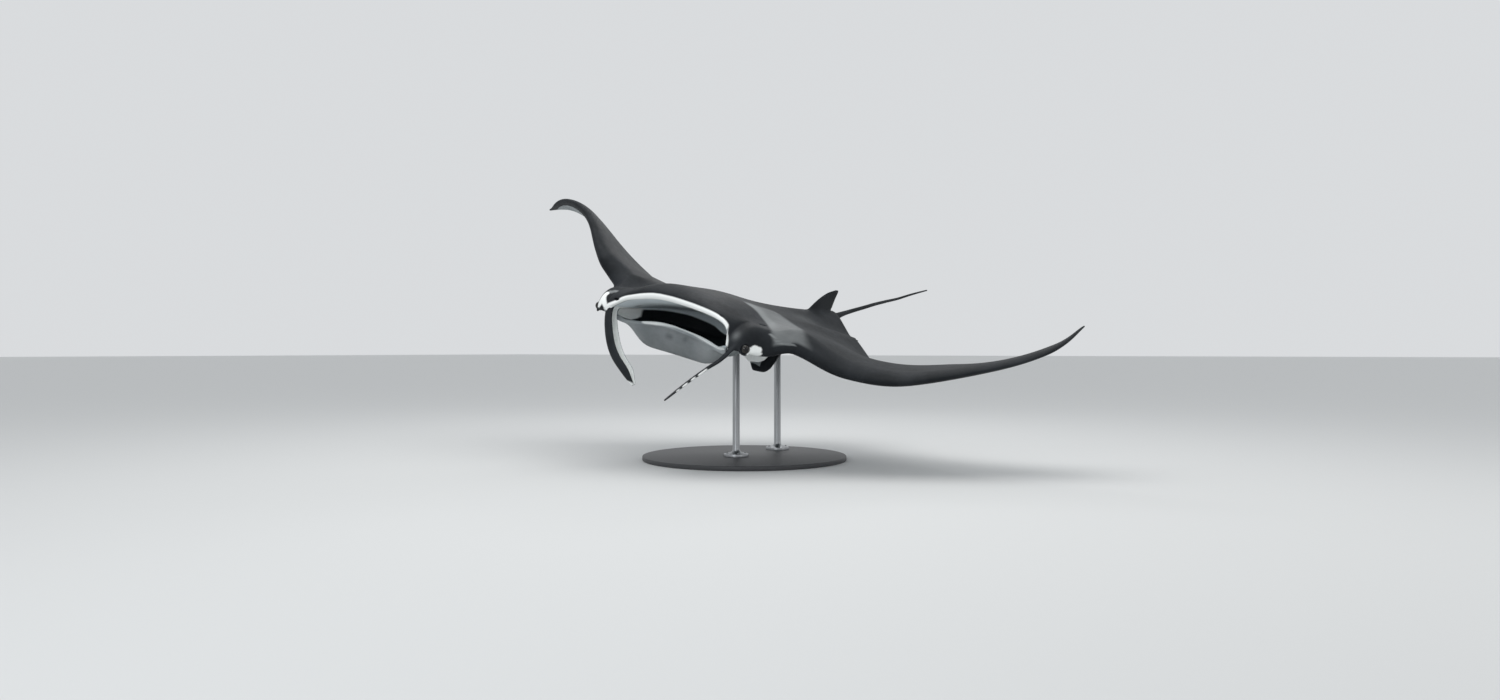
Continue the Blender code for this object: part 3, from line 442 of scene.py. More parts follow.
def lens_ring(middle, chord, facing, length, thickness):
    """A ring round a straight fin section with round edges."""
    turns = [math.pi * (k + 0.5) / PLATE_ROWS for k in range(PLATE_ROWS)]
    upper = [middle + chord * (length / 2 * math.cos(a)) + facing * (thickness / 2 * math.sin(a))
             for a in turns]
    lower = [middle + chord * (length / 2 * math.cos(a)) - facing * (thickness / 2 * math.sin(a))
             for a in turns[::-1]]
    return upper + lower


dorsal_rings = []
for z in np.linspace(DORSAL_OUTLINE[0][0], DORSAL_OUTLINE[-1][0], DORSAL_STATIONS):
    fin_front, fin_rear = column(DORSAL_OUTLINE, 1, z), column(DORSAL_OUTLINE, 2, z)
    fin_middle = Vector((0, (fin_front + fin_rear) / 2, z))
    dorsal_rings.append(lens_ring(fin_middle, Vector((0, 1, 0)), Vector((1, 0, 0)),
                                  fin_rear - fin_front, column(DORSAL_THICKNESS, 1, z)))
note_points(dorsal_rings, [np.full(2 * PLATE_ROWS, AWAY)] * len(dorsal_rings))
fused_parts.append(loft("dorsal_fin", dorsal_rings))

for side in (1, -1):
    pelvic_rings = []
    for t in np.linspace(0, 1, PELVIC_STATIONS):
        y = column(PELVIC_OUTLINE, 1, t) - PELVIC_FORWARD
        fin_middle = Vector((side * (PELVIC_INNER + PELVIC_REACH * t), y, PELVIC_TOP - PELVIC_DROP * t))
        chord, facing = Vector((side * 0.25, 1, -0.06)).normalized(), Vector((0, 0.06, 1)).normalized()
        pelvic_rings.append(lens_ring(fin_middle, chord, facing, column(PELVIC_OUTLINE, 2, t),
                                      column(PELVIC_THICKNESS, 1, t)))
    faces = np.array([AWAY] * PLATE_ROWS + [-AWAY] * PLATE_ROWS)
    note_points(pelvic_rings, [faces] * len(pelvic_rings))
    fused_parts.append(loft("pelvic_fin", pelvic_rings))


# Tail
# A thin round whip with a thick root, a little swayed, that tapers to its tip.
TAIL_PATH = [
    (1.24, 0.072, 0.048), (1.34, 0.084, 0.042), (1.42, 0.103, 0.028), (1.5, 0.128, 0.0155),
    (1.6, 0.154, 0.0115), (1.72, 0.183, 0.0103), (1.86, 0.213, 0.0094), (2.02, 0.239, 0.0084),
    (2.2, 0.267, 0.0074), (2.4, 0.311, 0.006), (2.58, 0.352, 0.004)]
TAIL_STATIONS, TAIL_SIDES = 120, 20
TAIL_SWAY, SWAY_RATE, SWAY_FROM, SWAY_GROWTH = 0.012, 5.2, 1.45, 0.4

tail_rings = []
for y in np.linspace(TAIL_PATH[0][0], TAIL_PATH[-1][0], TAIL_STATIONS):
    height, radius = column(TAIL_PATH, 1, y), column(TAIL_PATH, 2, y)
    sway = TAIL_SWAY * math.sin((y - 1.4) * SWAY_RATE) * float(ease((y - SWAY_FROM) / SWAY_GROWTH))
    turns = [2 * math.pi * (k + 0.5) / TAIL_SIDES for k in range(TAIL_SIDES)]
    tail_rings.append([Vector((sway + radius * math.cos(a), y, height + radius * math.sin(a)))
                       for a in turns])
note_points(tail_rings, [np.full(TAIL_SIDES, AWAY)] * TAIL_STATIONS)
fused_parts.append(loft("tail", tail_rings))


# Gill flaps
# Five thin flaps of skin a side hang over the gill openings of the throat, deepest towards their
# outer ends. The fourth of each side is flared wide open and folded forward.
FLAP_ROOT, FLAP_SLANT = 0.02, 0.03
FLAP_WAVE, FLAP_WAVE_RATE = 0.05, 11
FLAP_ROOT_HALF, FLAP_HALF, FLAP_SWELL = 0.0065, 0.0018, 0.0008
FLAP_PLACES = (0.24, 0.31, 0.38, 0.45, 0.515)
FLAP_INNER = (0.11, 0.1, 0.095, 0.095, 0.1)
FLAP_OUTER = (0.275, 0.3, 0.305, 0.335, 0.27)
FLAP_HANG = (0.01, 0.013, 0.052, 0.094, 0.024)
FLAP_CURL = (0.02, 0.022, 0.005, -0.035, 0.015)
FLAP_DEPTH = [
    (0.0, 0.05), (0.3, 0.26), (0.42, 0.55), (0.54, 0.95), (0.72, 1.0), (0.87, 0.82), (0.95, 0.5),
    (1.0, 0.05)]
FLAP_STATIONS, FLAP_ROWS = 40, 12

for side in (1, -1):
    for order, (y_root, first, last, hang, curl) in enumerate(zip(
            FLAP_PLACES, FLAP_INNER, FLAP_OUTER, FLAP_HANG, FLAP_CURL)):
        flap_rings, flap_ways = [], []
        for t in np.linspace(0, 1, FLAP_STATIONS):
            x = first + (last - first) * t
            y = y_root - FLAP_SLANT * t
            surface = float(skin_height(side * x, y, -1))
            depth = hang * float(smooth(FLAP_DEPTH, t))
            wave = FLAP_WAVE * hang * math.sin(FLAP_WAVE_RATE * t + y_root * 40)
            flap_front, flap_rear = [], []
            for way in np.linspace(0, 1, FLAP_ROWS):
                drop = FLAP_ROOT - (depth + FLAP_ROOT) * way
                lean = curl * way ** 2 + wave * way
                half = FLAP_ROOT_HALF * (1 - way) + FLAP_HALF + FLAP_SWELL * math.sin(math.pi * way)
                flap_front.append(Vector((side * x, y + lean - half, surface + drop)))
                flap_rear.append(Vector((side * x, y + lean + half, surface + drop)))
            flap_rings.append(flap_front + flap_rear[::-1])
            edge_way = np.linspace(1, 0, FLAP_ROWS) * (depth + FLAP_ROOT)
            flap_ways.append(-np.concatenate([edge_way, edge_way[::-1]]) - 0.001)
        note_points(flap_rings, flap_ways, (0, order + 1))
        fused_parts.append(loft("gill_flap", flap_rings))


# Lids, nostrils and spiracles
# A thick round lid rings each eye on the side of the head. A short slanting nostril lies over the
# upper lip near each corner of the mouth, and a small breathing slit behind and above each eye.
EYE_RADIUS = 0.02
EYE_PLACE = Vector((0.371, 0.036, 0.004))
EYE_AXIS = Vector((0.8, -0.57, 0.1)).normalized()
EYE_ROOM = 0.0003
LID_WIDTH, LID_GAP, LID_FORWARD, LID_MARK = 0.006, 0.001, 0.004, 0.03
NOSTRIL_X, NOSTRIL_Y, NOSTRIL_RISE = 0.262, -0.002, 0.016
NOSTRIL_SIZES, NOSTRIL_TURN = (0.018, 0.012, 0.006), math.radians(20)
SPIRACLE_PLACE = (0.335, 0.19, 0.1)
SPIRACLE_SIZES, SPIRACLE_TURN = (0.006, 0.022, 0.014), math.radians(-25)


def mirrored(vector, side):
    """Mirror a vector to one side."""
    return Vector((vector[0] * side, vector[1], vector[2]))


def hollow(name, place, sizes, turn=0.0):
    """A closed form that cuts a hollow, turned about the upright."""
    bpy.ops.mesh.primitive_uv_sphere_add(
        segments=32, ring_count=20, radius=1, location=place, rotation=(0, 0, turn), scale=sizes)
    form = bpy.context.object
    form.name = name
    bpy.ops.object.transform_apply()
    return form


hollows = []
for side in (1, -1):
    axis = mirrored(EYE_AXIS, side)
    bpy.ops.mesh.primitive_torus_add(
        major_segments=56, minor_segments=18, major_radius=EYE_RADIUS + LID_GAP,
        minor_radius=LID_WIDTH, location=mirrored(EYE_PLACE, side) + axis * LID_FORWARD,
        rotation=axis.to_track_quat("Z", "Y").to_euler())
    bpy.ops.object.transform_apply()
    lid = bpy.context.object
    lid_points = [vertex.co for vertex in lid.data.vertices]
    note_points([lid_points], [[LID_MARK] * len(lid_points)])
    fused_parts.append(lid)
    nostril_height = float(smooth(UPPER_LIP, side * NOSTRIL_X)) + NOSTRIL_RISE
    hollows += [
        hollow("eye_socket", mirrored(EYE_PLACE, side), (EYE_RADIUS + EYE_ROOM,) * 3),
        hollow("nostril", (side * NOSTRIL_X, NOSTRIL_Y, nostril_height), NOSTRIL_SIZES,
               side * NOSTRIL_TURN),
        hollow("spiracle", mirrored(SPIRACLE_PLACE, side), SPIRACLE_SIZES, side * SPIRACLE_TURN)]


# Skin
# One skin covers the whole animal. The fins, tail, flaps and lids are joined to the disc in one
# union and the hollows are cut, the seams are rounded off, and then the wings are bent to the pose.
ROLL = math.radians(16.4)
PITCH = math.radians(-1.7)
BEND_AXIS, BEND_START, BEND_END, BEND_STEPS = 0.576, 0.192, HALF_SPAN + 0.05, 400
BEND_FROM, BEND_BLEND = 0.15, 0.14
HEAD_KEPT, HEAD_Y, HEAD_LENGTH = 0.25, 0.5, 0.4
LEFT_CLIMB = [
    (0.192, 4.0), (0.48, -4.0), (0.704, 7.5), (0.928, 19.0), (1.152, 25.4), (1.376, 32.3), (1.5, 52.4),
    (1.6, 84.0)]
LEFT_TURN = [
    (0.192, -4.0), (0.48, 6.0), (0.704, -2.0), (0.928, -7.7), (1.152, -7.5), (1.376, -12.2), (1.5, -14.7),
    (1.6, -11.4)]
LEFT_TIP_START, LEFT_TIP_TUCK = 1.4, 0.3
RIGHT_CLIMB = [
    (0.192, -2.0), (0.48, 9.5), (0.704, 28.5), (0.928, 31.0), (1.152, 9.5), (1.376, -20.5), (1.6, -44.5)]
RIGHT_TURN = [
    (0.192, -2.0), (0.48, 9.5), (0.704, 16.0), (0.928, 23.0), (1.152, 15.5), (1.376, -3.0), (1.6, -22.0)]
HEAD_DROOP, DROOP_START, DROOP_ROUND = 0.07, 0.02, 0.08
DROOP_OUT, DROOP_BACK = (0.36, 0.26), (0.12, 0.33)
BROW_Y, BROW_LENGTH, BROW_UP = 0.06, 0.1, (0.06, 0.05)
BROW = [
    (-0.38, 0.0), (-0.32, -0.005), (-0.25, -0.01), (-0.19, -0.003), (-0.14, 0.006), (-0.08, 0.009),
    (0.0, 0.005), (0.08, 0.0)]
RIGHT_SWEEP = [(0.4, 0.0), (0.46, 0.055), (0.53, 0.02), (0.61, -0.022), (0.76, -0.018), (0.95, 0.0)]
SWEEP_BACK = (0.15, 0.3)
SEAM_REACH, SEAM_ROUNDS, SEAM_SHARE = 0.016, 14, 0.5
ON_SOURCE = 1e-5


def ramp(value, start, reach):
    """Ramp gently from 0 at the start to 1 past the reach."""
    return ease((value - start) / reach)


def boolean_all(piece, others, operation):
    """Join other closed objects to a piece, or cut them from it."""
    group = bpy.data.collections.new("others")
    for other in others:
        group.objects.link(other)
    modifier = piece.modifiers.new("boolean", "BOOLEAN")
    modifier.operation = operation
    modifier.solver = "EXACT"
    modifier.operand_type = "COLLECTION"
    modifier.collection = group
    mesh = bpy.data.meshes.new_from_object(piece.evaluated_get(bpy.context.evaluated_depsgraph_get()))
    piece.modifiers.clear()
    piece.data = mesh
    for other in others:
        bpy.data.objects.remove(other)
    bpy.data.collections.remove(group)


def wing_frame(climb, turn):
    """How a wing's middle line runs along the span."""
    span = np.linspace(BEND_START, BEND_END, BEND_STEPS)
    angle = np.radians(smooth(climb, span))
    steps = np.diff(span)
    across = np.cumsum(np.append(0, steps * np.cos((angle[1:] + angle[:-1]) / 2)))
    up = np.cumsum(np.append(0, steps * np.sin((angle[1:] + angle[:-1]) / 2)))
    return span, BEND_START + across, WING_PLANE + up, angle, np.radians(smooth(turn, span))


def bend(points):
    """Move flat points to the pose: the right of the head droops and the wings are raised."""
    x, y, z = points.T
    x = x - LEFT_TIP_TUCK * np.clip(x - LEFT_TIP_START, 0, None)
    span = np.abs(x)
    right = (x - DROOP_START - np.sqrt((x - DROOP_START) ** 2 + DROOP_ROUND ** 2)) / 2
    brow = smooth(BROW, x) * np.exp(-((y - BROW_Y) / BROW_LENGTH) ** 2) * ramp(z, *BROW_UP)
    z = z + HEAD_DROOP * right * (1 - ramp(span, *DROOP_OUT)) * (1 - ramp(y, *DROOP_BACK)) + brow
    y = y + smooth(RIGHT_SWEEP, -x) * (1 - ramp(y, *SWEEP_BACK))
    points = np.stack([x, y, z], axis=1)
    moved = points.copy()
    for sign, climb, turning in ((1, LEFT_CLIMB, LEFT_TURN), (-1, RIGHT_CLIMB, RIGHT_TURN)):
        wing = wing_frame(climb, turning)
        places, across, up, angle, turn = (np.interp(span, wing[0], row) for row in wing)
        back, over = y - BEND_AXIS, z - WING_PLANE
        normal = over * np.cos(turn) - back * np.sin(turn)
        bent = np.stack([sign * (across - np.sin(angle) * normal),
                         BEND_AXIS + back * np.cos(turn) + over * np.sin(turn),
                         up + np.cos(angle) * normal], axis=1)
        start = BEND_FROM + HEAD_KEPT * ease((HEAD_Y - y) / HEAD_LENGTH)
        share = ramp(span, start, BEND_BLEND)[:, None]
        chosen = x * sign > 0
        moved[chosen] = (points + (bent - points) * share)[chosen]
    return moved


def posed(points):
    """Bend flat points, bank them and lift them over the stand."""
    attitude = Matrix.Rotation(PITCH, 3, "X") @ Matrix.Rotation(ROLL, 3, "Y")
    return bend(points) @ np.array(attitude).T + np.array(MOUTH_PLACE)


def coordinates(mesh):
    """The places of a mesh's vertices."""
    values = np.empty(len(mesh.vertices) * 3)
    mesh.vertices.foreach_get("co", values)
    return values.reshape(-1, 3)


def nearest(points, places):
    """Number of the point nearest to each place, and how far away it is."""
    tree = KDTree(len(points))
    for k, point in enumerate(points):
        tree.insert(point, k)
    tree.balance()
    found = [tree.find(place) for place in places]
    return [hit[1] for hit in found], np.array([hit[2] for hit in found])


def round_seams(mesh, seams):
    """Relax the skin near its seams."""
    places = coordinates(mesh)
    _, away = nearest(seams, places)
    weight = ease((SEAM_REACH - away) / SEAM_REACH)[:, None]
    edges = np.empty(len(mesh.edges) * 2, int)
    mesh.edges.foreach_get("vertices", edges)
    first, second = edges.reshape(-1, 2).T
    degree = np.bincount(edges, minlength=len(places))[:, None]
    for _ in range(SEAM_ROUNDS):
        total = np.zeros_like(places)
        np.add.at(total, first, places[second])
        np.add.at(total, second, places[first])
        places += (total / degree - places) * weight * SEAM_SHARE
    mesh.vertices.foreach_set("co", places.ravel())


boolean_all(skin, fused_parts, "UNION")
boolean_all(skin, hollows, "DIFFERENCE")
triangles = bmesh.new()
triangles.from_mesh(skin.data)
bmesh.ops.triangulate(triangles, faces=triangles.faces)
triangles.to_mesh(skin.data)
triangles.free()

source_points = np.concatenate(source_points)
source_facts = np.concatenate(source_facts)
flat = coordinates(skin.data)
numbers, off_source = nearest(source_points, flat)
facts = source_facts[numbers]
round_seams(skin.data, flat[off_source > ON_SOURCE])


# Markings
# The back is near black with a pale patch on each shoulder, and the belly pale with dark spots, greyed
# down as painted shade of the underside.
# Each marking is worked out on the flat ray and kept with the skin's points as a field: how far a
# point lies inside the marking, in metres, or how strong it is there.
forward, inward, rearward, roof, on_head_fin, on_flap = facts.T
flat = coordinates(skin.data)
flat_x, flat_y, flat_z = flat.T
span = np.abs(flat_x)

LIP_BAND, NOWHERE = 0.01, -0.1
WRAP = [
    (0.31, 0.0), (0.33, 0.025), (0.37, 0.03), (0.42, 0.06), (0.5, 0.08), (0.9, 0.07), (1.35, 0.04),
    (1.6, 0.05)]
tone = np.where(span < MOUTH_HALF_WIDTH, forward - LIP_BAND, forward + smooth(WRAP, span))
fin_margin = np.where(on_head_fin > 1, -0.008, 0.012)
tone = np.where(on_head_fin > 0, np.where(forward > 0, 0.02, forward + fin_margin), tone)
hook = np.where(on_flap == 4, np.maximum(span - 0.24, -0.095 - flat_z), -0.02)
tone = np.where(on_flap > 0, hook, tone)

PATCH_FRONT = [
    (0.1, 0.34), (0.142, 0.325), (0.195, 0.31), (0.25, 0.285), (0.3, 0.255), (0.34, 0.215), (0.38, 0.165),
    (0.42, 0.125), (0.56, 0.1)]
PATCH_REAR = [
    (0.02, 0.56), (0.09, 0.64), (0.2, 0.61), (0.3, 0.55), (0.4, 0.42), (0.47, 0.3), (0.53, 0.245),
    (0.6, 0.22)]
CHEEK_PATCH, CHEEK_SIZES = (0.334, 0.01, 0.046), (0.02, 0.035, 0.022)
SHOULDER_STROKE = [
    (0.005, [(0.412, 0.13, 0.077), (0.437, 0.137, 0.054)]),
    (0.004, [(0.437, 0.137, 0.054), (0.45, 0.141, 0.036), (0.503, 0.171, 0.026)]),
    (0.012, [(-0.322, 0.05, 0.08), (-0.338, 0.04, 0.074)])]
behind = flat_y - smooth(PATCH_FRONT, span)
before = smooth(PATCH_REAR, span) - flat_y
patch_across = ease((span - 0.09) / 0.07) * ease((0.6 - span) / 0.05)
front_band = np.exp(-((behind - 0.035) / 0.04) ** 2) * ease((0.4 - span) / 0.1)
patch = ease((behind + 0.01) / 0.03) * ease(before / 0.07) * (0.62 + 0.38 * front_band) * patch_across
patch *= ease((forward - 0.006) / 0.016) * np.where(flat_x > 0, 1, 0.6 * ease((0.38 + flat_x) / 0.12))
rear_patch = 0.3 * np.exp(-((span - 0.12) / 0.07) ** 2 - ((flat_y - 0.93) / 0.12) ** 2)
cheek_away = np.linalg.norm((flat - CHEEK_PATCH) / CHEEK_SIZES, axis=1)
patch = np.maximum.reduce([patch, rear_patch, 0.5 * np.exp(-cheek_away ** 2)])

# White and dark strokes round the mouth's corners and on the head fins, each with its half width
# and its places
WHITE_STROKES = [
    (0.012, [(-0.347, 0.028, 0.062), (-0.349, 0.018, 0.05), (-0.347, 0.004, 0.03), (-0.35, 0.0, 0.01)]),
    (0.011, [(-0.344, 0.011, 0.043), (-0.326, 0.0, 0.024), (-0.304, -0.008, 0.006)]),
    (0.016, [(-0.085, -0.012, -0.268), (-0.068, -0.009, -0.278)]),
    (0.007, [(0.298, -0.075, -0.107), (0.279, -0.081, -0.131)]),
    (0.006, [(0.262, -0.082, -0.148), (0.254, -0.083, -0.158)]),
    (0.007, [(0.234, -0.083, -0.181), (0.221, -0.083, -0.194)]),
    (0.005, [(0.203, -0.081, -0.214), (0.195, -0.078, -0.222)]),
    (0.019, [(0.394, 0.05, -0.002), (0.408, 0.084, -0.012)]),
    (0.014, [(0.402, 0.06, 0.014), (0.408, 0.08, 0.01)])]
DARK_STROKES = [
    (0.011, [(-0.311, 0.016, 0.055), (-0.314, 0.006, 0.038)])]


def inside_strokes(strokes):
    """How far each point of the flat skin lies inside strokes."""
    inside = np.full(len(flat), NOWHERE)
    for half_width, places in strokes:
        for start, end in zip(np.array(places), np.array(places[1:])):
            run = end - start
            share = np.clip((flat - start) @ run / (run @ run), 0, 1)[:, None]
            away = np.linalg.norm(flat - start - share * run, axis=1)
            inside = np.maximum(inside, half_width - away)
    return inside


patch = np.maximum(patch, 0.9 * ease((inside_strokes(SHOULDER_STROKE) + 0.006) / 0.01))
patch = np.where((forward > 0) & (on_head_fin < 1), patch, 0)
dark = inside_strokes(DARK_STROKES)
# Painted light: the far wall deep inside the mouth is made as white as the rim, to brighten it where
# little light reaches
far_wall_painted_light = np.minimum(inward - 0.03, -0.274 - flat_x)
all_white = (on_flap == 3) | ((on_head_fin > 1) & (forward < 0))
white_and_far_wall_light = np.maximum.reduce([inside_strokes(WHITE_STROKES), far_wall_painted_light, np.where(all_white, 0.003, NOWHERE)])
tone = np.where(on_flap > 0, tone, np.maximum(tone, dark))

# Soft grey spots and painted shade darkening the chin, dark belly spots and wing margins, and painted
# shade in the slits behind the flaps
FACE_SPOTS = [
    (-0.046, 0.12, -0.056, 0.013, 0.8), (0.034, 0.118, -0.049, 0.01, 0.45),
    (-0.244, 0.125, 0.037, 0.012, 0.7)]
CHIN_PAINTED_SHADE = (-0.03, 0.16, -0.09), 0.2, 0.42
BELLY_SPOTS, SPOT_SEED, SPOT_SPREAD, SPOT_REACH, SPOT_SIZES = 30, 5, 0.12, (0.5, 1.02), (0.007, 0.026)
WING_MARGIN = 0.075
smudge, marks_and_slit_shade = np.zeros(len(flat)), np.full(len(flat), NOWHERE)
for *spot_place, spot_radius, strength in FACE_SPOTS:
    away = np.linalg.norm(flat - spot_place, axis=1) / spot_radius
    smudge = np.maximum(smudge, strength * np.exp(-away ** 2))
# Painted shade: the chin's underside is darkened towards the dark mark colour, as shade under the head
shade_place, shade_radius, strength = CHIN_PAINTED_SHADE
away = np.linalg.norm(flat - shade_place, axis=1) / shade_radius
smudge = 1 - (1 - smudge) * (1 - np.where(forward < 0, strength * np.exp(-away ** 4), 0))
spots = np.random.default_rng(SPOT_SEED)
for _ in range(BELLY_SPOTS):
    spot_x, spot_y = spots.normal(0, SPOT_SPREAD), spots.uniform(*SPOT_REACH)
    spot_radius = spots.uniform(*SPOT_SIZES)
    marks_and_slit_shade = np.maximum(marks_and_slit_shade, spot_radius - np.hypot(flat_x - spot_x, (flat_y - spot_y) * 0.8))
margin = WING_MARGIN * ease((span - 0.45) / 0.25) * (0.75 + 0.25 * np.sin(span * 17)) - rearward
marks_and_slit_shade = np.maximum(marks_and_slit_shade, margin)
# Painted shade: a dark band on the belly just behind each gill flap stands for the shade in its slit
for y_root, first, last in zip(FLAP_PLACES, FLAP_INNER, FLAP_OUTER):
    share = np.clip((span - first) / (last - first), 0, 1)
    slit_shade = 0.01 - np.abs(flat_y - (y_root - FLAP_SLANT * share + 0.01))
    slit_shade = np.minimum(slit_shade, np.minimum(span - first, last - span) * 0.4)
    marks_and_slit_shade = np.maximum(marks_and_slit_shade, np.where(on_flap > 0, NOWHERE, slit_shade))
marks_and_slit_shade = np.where(((forward < 0) | (inward > 0)) & (on_head_fin < 1), marks_and_slit_shade, NOWHERE)

# The mouth has a white rim, wide on the upper lip and thin on the lower, a pale grey roof, and painted
# shade in the throat: near black below a line across its back wall
THROAT_SHADE_LINE = [
    (-0.285, 0.012), (-0.241, 0.019), (-0.201, 0.021), (-0.15, 0.021), (-0.091, 0.015), (-0.021, 0.005),
    (0.028, -0.012), (0.1, -0.02), (0.3, -0.03)]
LOWER_RIM = [
    (-0.185, 0.108, -0.022), (-0.159, 0.111, -0.019), (-0.085, 0.117, -0.012), (-0.006, 0.121, -0.01),
    (0.075, 0.119, -0.015), (0.148, 0.114, -0.025), (0.232, 0.1, -0.035), (0.258, 0.09, -0.036)]
CORNER_RIM = [(0.3, -0.008, 0.04), (0.306, -0.006, 0.018), (0.309, -0.004, 0.0)]
RIM_END, RIM_POINTS = 0.306, 70
UPPER_HALF, CORNER_HALF, LOWER_HALF = 0.015, 0.0095, 0.0085
# Painted shade: the deep throat below the line is coloured near black
throat = np.minimum.reduce([inward - 0.022, smooth(THROAT_SHADE_LINE, flat_x) + 0.001 - flat_z, flat_x + 0.278])
lip_x = np.linspace(-RIM_END, RIM_END, RIM_POINTS)
lip_open = np.sqrt(1 - (lip_x / MOUTH_HALF_WIDTH) ** 2)
lip_radius = LIP_RADIUS * lip_open ** LIP_TAPER
upper_lip = np.stack([lip_x, -0.008 - UPPER_LIP_REACH * lip_open + lip_radius * 0.3,
                      0.003 + smooth(UPPER_LIP, lip_x) - lip_radius * 0.7], axis=1)
upper_rim = inside_strokes([(UPPER_HALF, upper_lip[:-2]), (CORNER_HALF, CORNER_RIM)])
upper_rim = np.minimum(upper_rim, flat_z + 0.003)
rim = np.where((roof > 0) | (span > 0.308), upper_rim, inside_strokes([(LOWER_HALF, LOWER_RIM)]))
rim = np.minimum(rim, -dark)
rim = np.where((on_head_fin < 1) & (on_flap < 1) & (flat_y < 0.2), rim, NOWHERE)

for name, values in dict(tone=tone, patch=patch, marks_and_slit_shade=marks_and_slit_shade, smudge=smudge, mouth=inward, throat=throat,
                         rim=rim, white_and_far_wall_light=white_and_far_wall_light).items():
    attribute = skin.data.attributes.new(name, "FLOAT", "POINT")
    attribute.data.foreach_set("value", values.astype(np.float32))

skin.data.vertices.foreach_set("co", posed(flat).ravel())
skin.data.update()
skin.data.shade_smooth()


def add_node(tree, kind, **values):
    """Add a shader node and set it up."""
    node = tree.nodes.new(kind)
    set_node(node, **values)
    return node


def field(tree, name):
    """The value of a field kept with the points."""
    return add_node(tree, "ShaderNodeAttribute", attribute_name=name).outputs["Fac"]


def arithmetic(operation, first, second, third=0.0):
    """One sum on values of a shader."""
    return add_node(first.id_data, "ShaderNodeMath", operation=operation, in_0=first, in_1=second,
                    in_2=third).outputs[0]


def step(value, low, high):
    """Ramp a value gently from 0 to 1."""
    return add_node(value.id_data, "ShaderNodeMapRange", interpolation_type="SMOOTHSTEP", Value=value,
                    in_1=low, in_2=high).outputs["Result"]


def blend_colour(share, first, second):
    """Mix two colours by a share."""
    return add_node(share.id_data, "ShaderNodeMix", data_type="RGBA", in_0=share, in_6=first,
                    in_7=second).outputs[2]


def object_place(tree):
    """The place on the piece that is shaded."""
    return add_node(tree, "ShaderNodeTexCoord").outputs["Object"]


def noise(place, scale, detail, roughness=0.5):
    """A cloudy pattern of the given scale."""
    return add_node(place.id_data, "ShaderNodeTexNoise", Vector=place, Scale=scale, Detail=detail,
                    Roughness=roughness).outputs["Fac"]


BACK_COLOURS = (0.008, 0.01, 0.012, 1), (0.02, 0.023, 0.027, 1)
PATCH_COLOUR = (0.205, 0.218, 0.222, 1)
# The belly's pale colour is greyed down here, painted shade of the underside
BELLY_COLOURS_GREYED_AS_SHADE = (0.24, 0.265, 0.275, 1), (0.37, 0.395, 0.405, 1)
DARK_MARK_AND_SHADE_COLOUR = (0.045, 0.05, 0.056, 1)
ROOF_COLOUR = (0.7, 0.77, 0.8, 1)
THROAT_SHADE_AND_EYE_COLOUR = (0.006, 0.008, 0.01, 1)
RIM_COLOUR = (0.86, 0.88, 0.87, 1)

hide, tree, shader = new_material("hide")
place = object_place(tree)
cloud = noise(place, 7, 6, 0.6)
edge_noise = noise(place, 55, 4, 0.6)
fine = noise(place, 420, 3, 0.6)
wobble = arithmetic("MULTIPLY_ADD", edge_noise, 0.014, -0.007)
back_colour = blend_colour(step(cloud, 0.3, 0.72), *BACK_COLOURS)
patch_share = arithmetic("MULTIPLY", field(tree, "patch"), arithmetic("MULTIPLY_ADD", cloud, 0.9, 0.5))
back_colour = blend_colour(step(patch_share, 0.0, 1.0), back_colour, PATCH_COLOUR)
belly_colour = blend_colour(step(cloud, 0.3, 0.7), *BELLY_COLOURS_GREYED_AS_SHADE)
# Dark belly spots and wing margins, and painted shade behind the gill flaps
marks_and_slit_shade_share = step(arithmetic("ADD", field(tree, "marks_and_slit_shade"), wobble), -0.004, 0.005)
belly_colour = blend_colour(marks_and_slit_shade_share, belly_colour, DARK_MARK_AND_SHADE_COLOUR)
tone_share = step(arithmetic("ADD", field(tree, "tone"), wobble), -0.003, 0.003)
colour = blend_colour(tone_share, belly_colour, back_colour)
colour = blend_colour(step(field(tree, "mouth"), 0.018, 0.03), colour, ROOF_COLOUR)
# Grey face spots, and painted shade darkening the chin
colour = blend_colour(field(tree, "smudge"), colour, DARK_MARK_AND_SHADE_COLOUR)
# Painted shade in the throat
colour = blend_colour(step(field(tree, "throat"), -0.004, 0.004), colour, THROAT_SHADE_AND_EYE_COLOUR)
ripple = arithmetic("MULTIPLY_ADD", edge_noise, 0.005, -0.0025)
# White marks and the rim, and painted light on the far wall of the mouth
white_and_far_wall_light_share = step(arithmetic("ADD", field(tree, "white_and_far_wall_light"), ripple), -0.004, 0.004)
white_and_far_wall_light_share = arithmetic("MAXIMUM", white_and_far_wall_light_share, step(field(tree, "rim"), -0.004, 0.004))
colour = blend_colour(white_and_far_wall_light_share, colour, RIM_COLOUR)
relief = arithmetic("MULTIPLY_ADD", fine, 0.35, arithmetic("MULTIPLY", edge_noise, 0.65))
bump = add_node(tree, "ShaderNodeBump", Strength=0.2, Distance=0.002, Height=relief)
set_node(shader, Base_Color=colour, Specular_IOR_Level=0.15, Normal=bump.outputs["Normal"],
         Roughness=arithmetic("MULTIPLY_ADD", edge_noise, 0.2, 0.52))
skin.data.materials.clear()
skin.data.materials.append(hide)

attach(skin, "root")
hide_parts("head", "lower_jaw", "torso", "pectoral_fin_left_root", "pectoral_fin_left_middle",
            "pectoral_fin_left_tip", "pectoral_fin_right_root", "pectoral_fin_right_middle",
            "pectoral_fin_right_tip", "cephalic_fin_left", "cephalic_fin_right", "dorsal_fin",
            "pelvic_fin_left", "pelvic_fin_right", "tail_base", "tail_middle", "tail_tip")


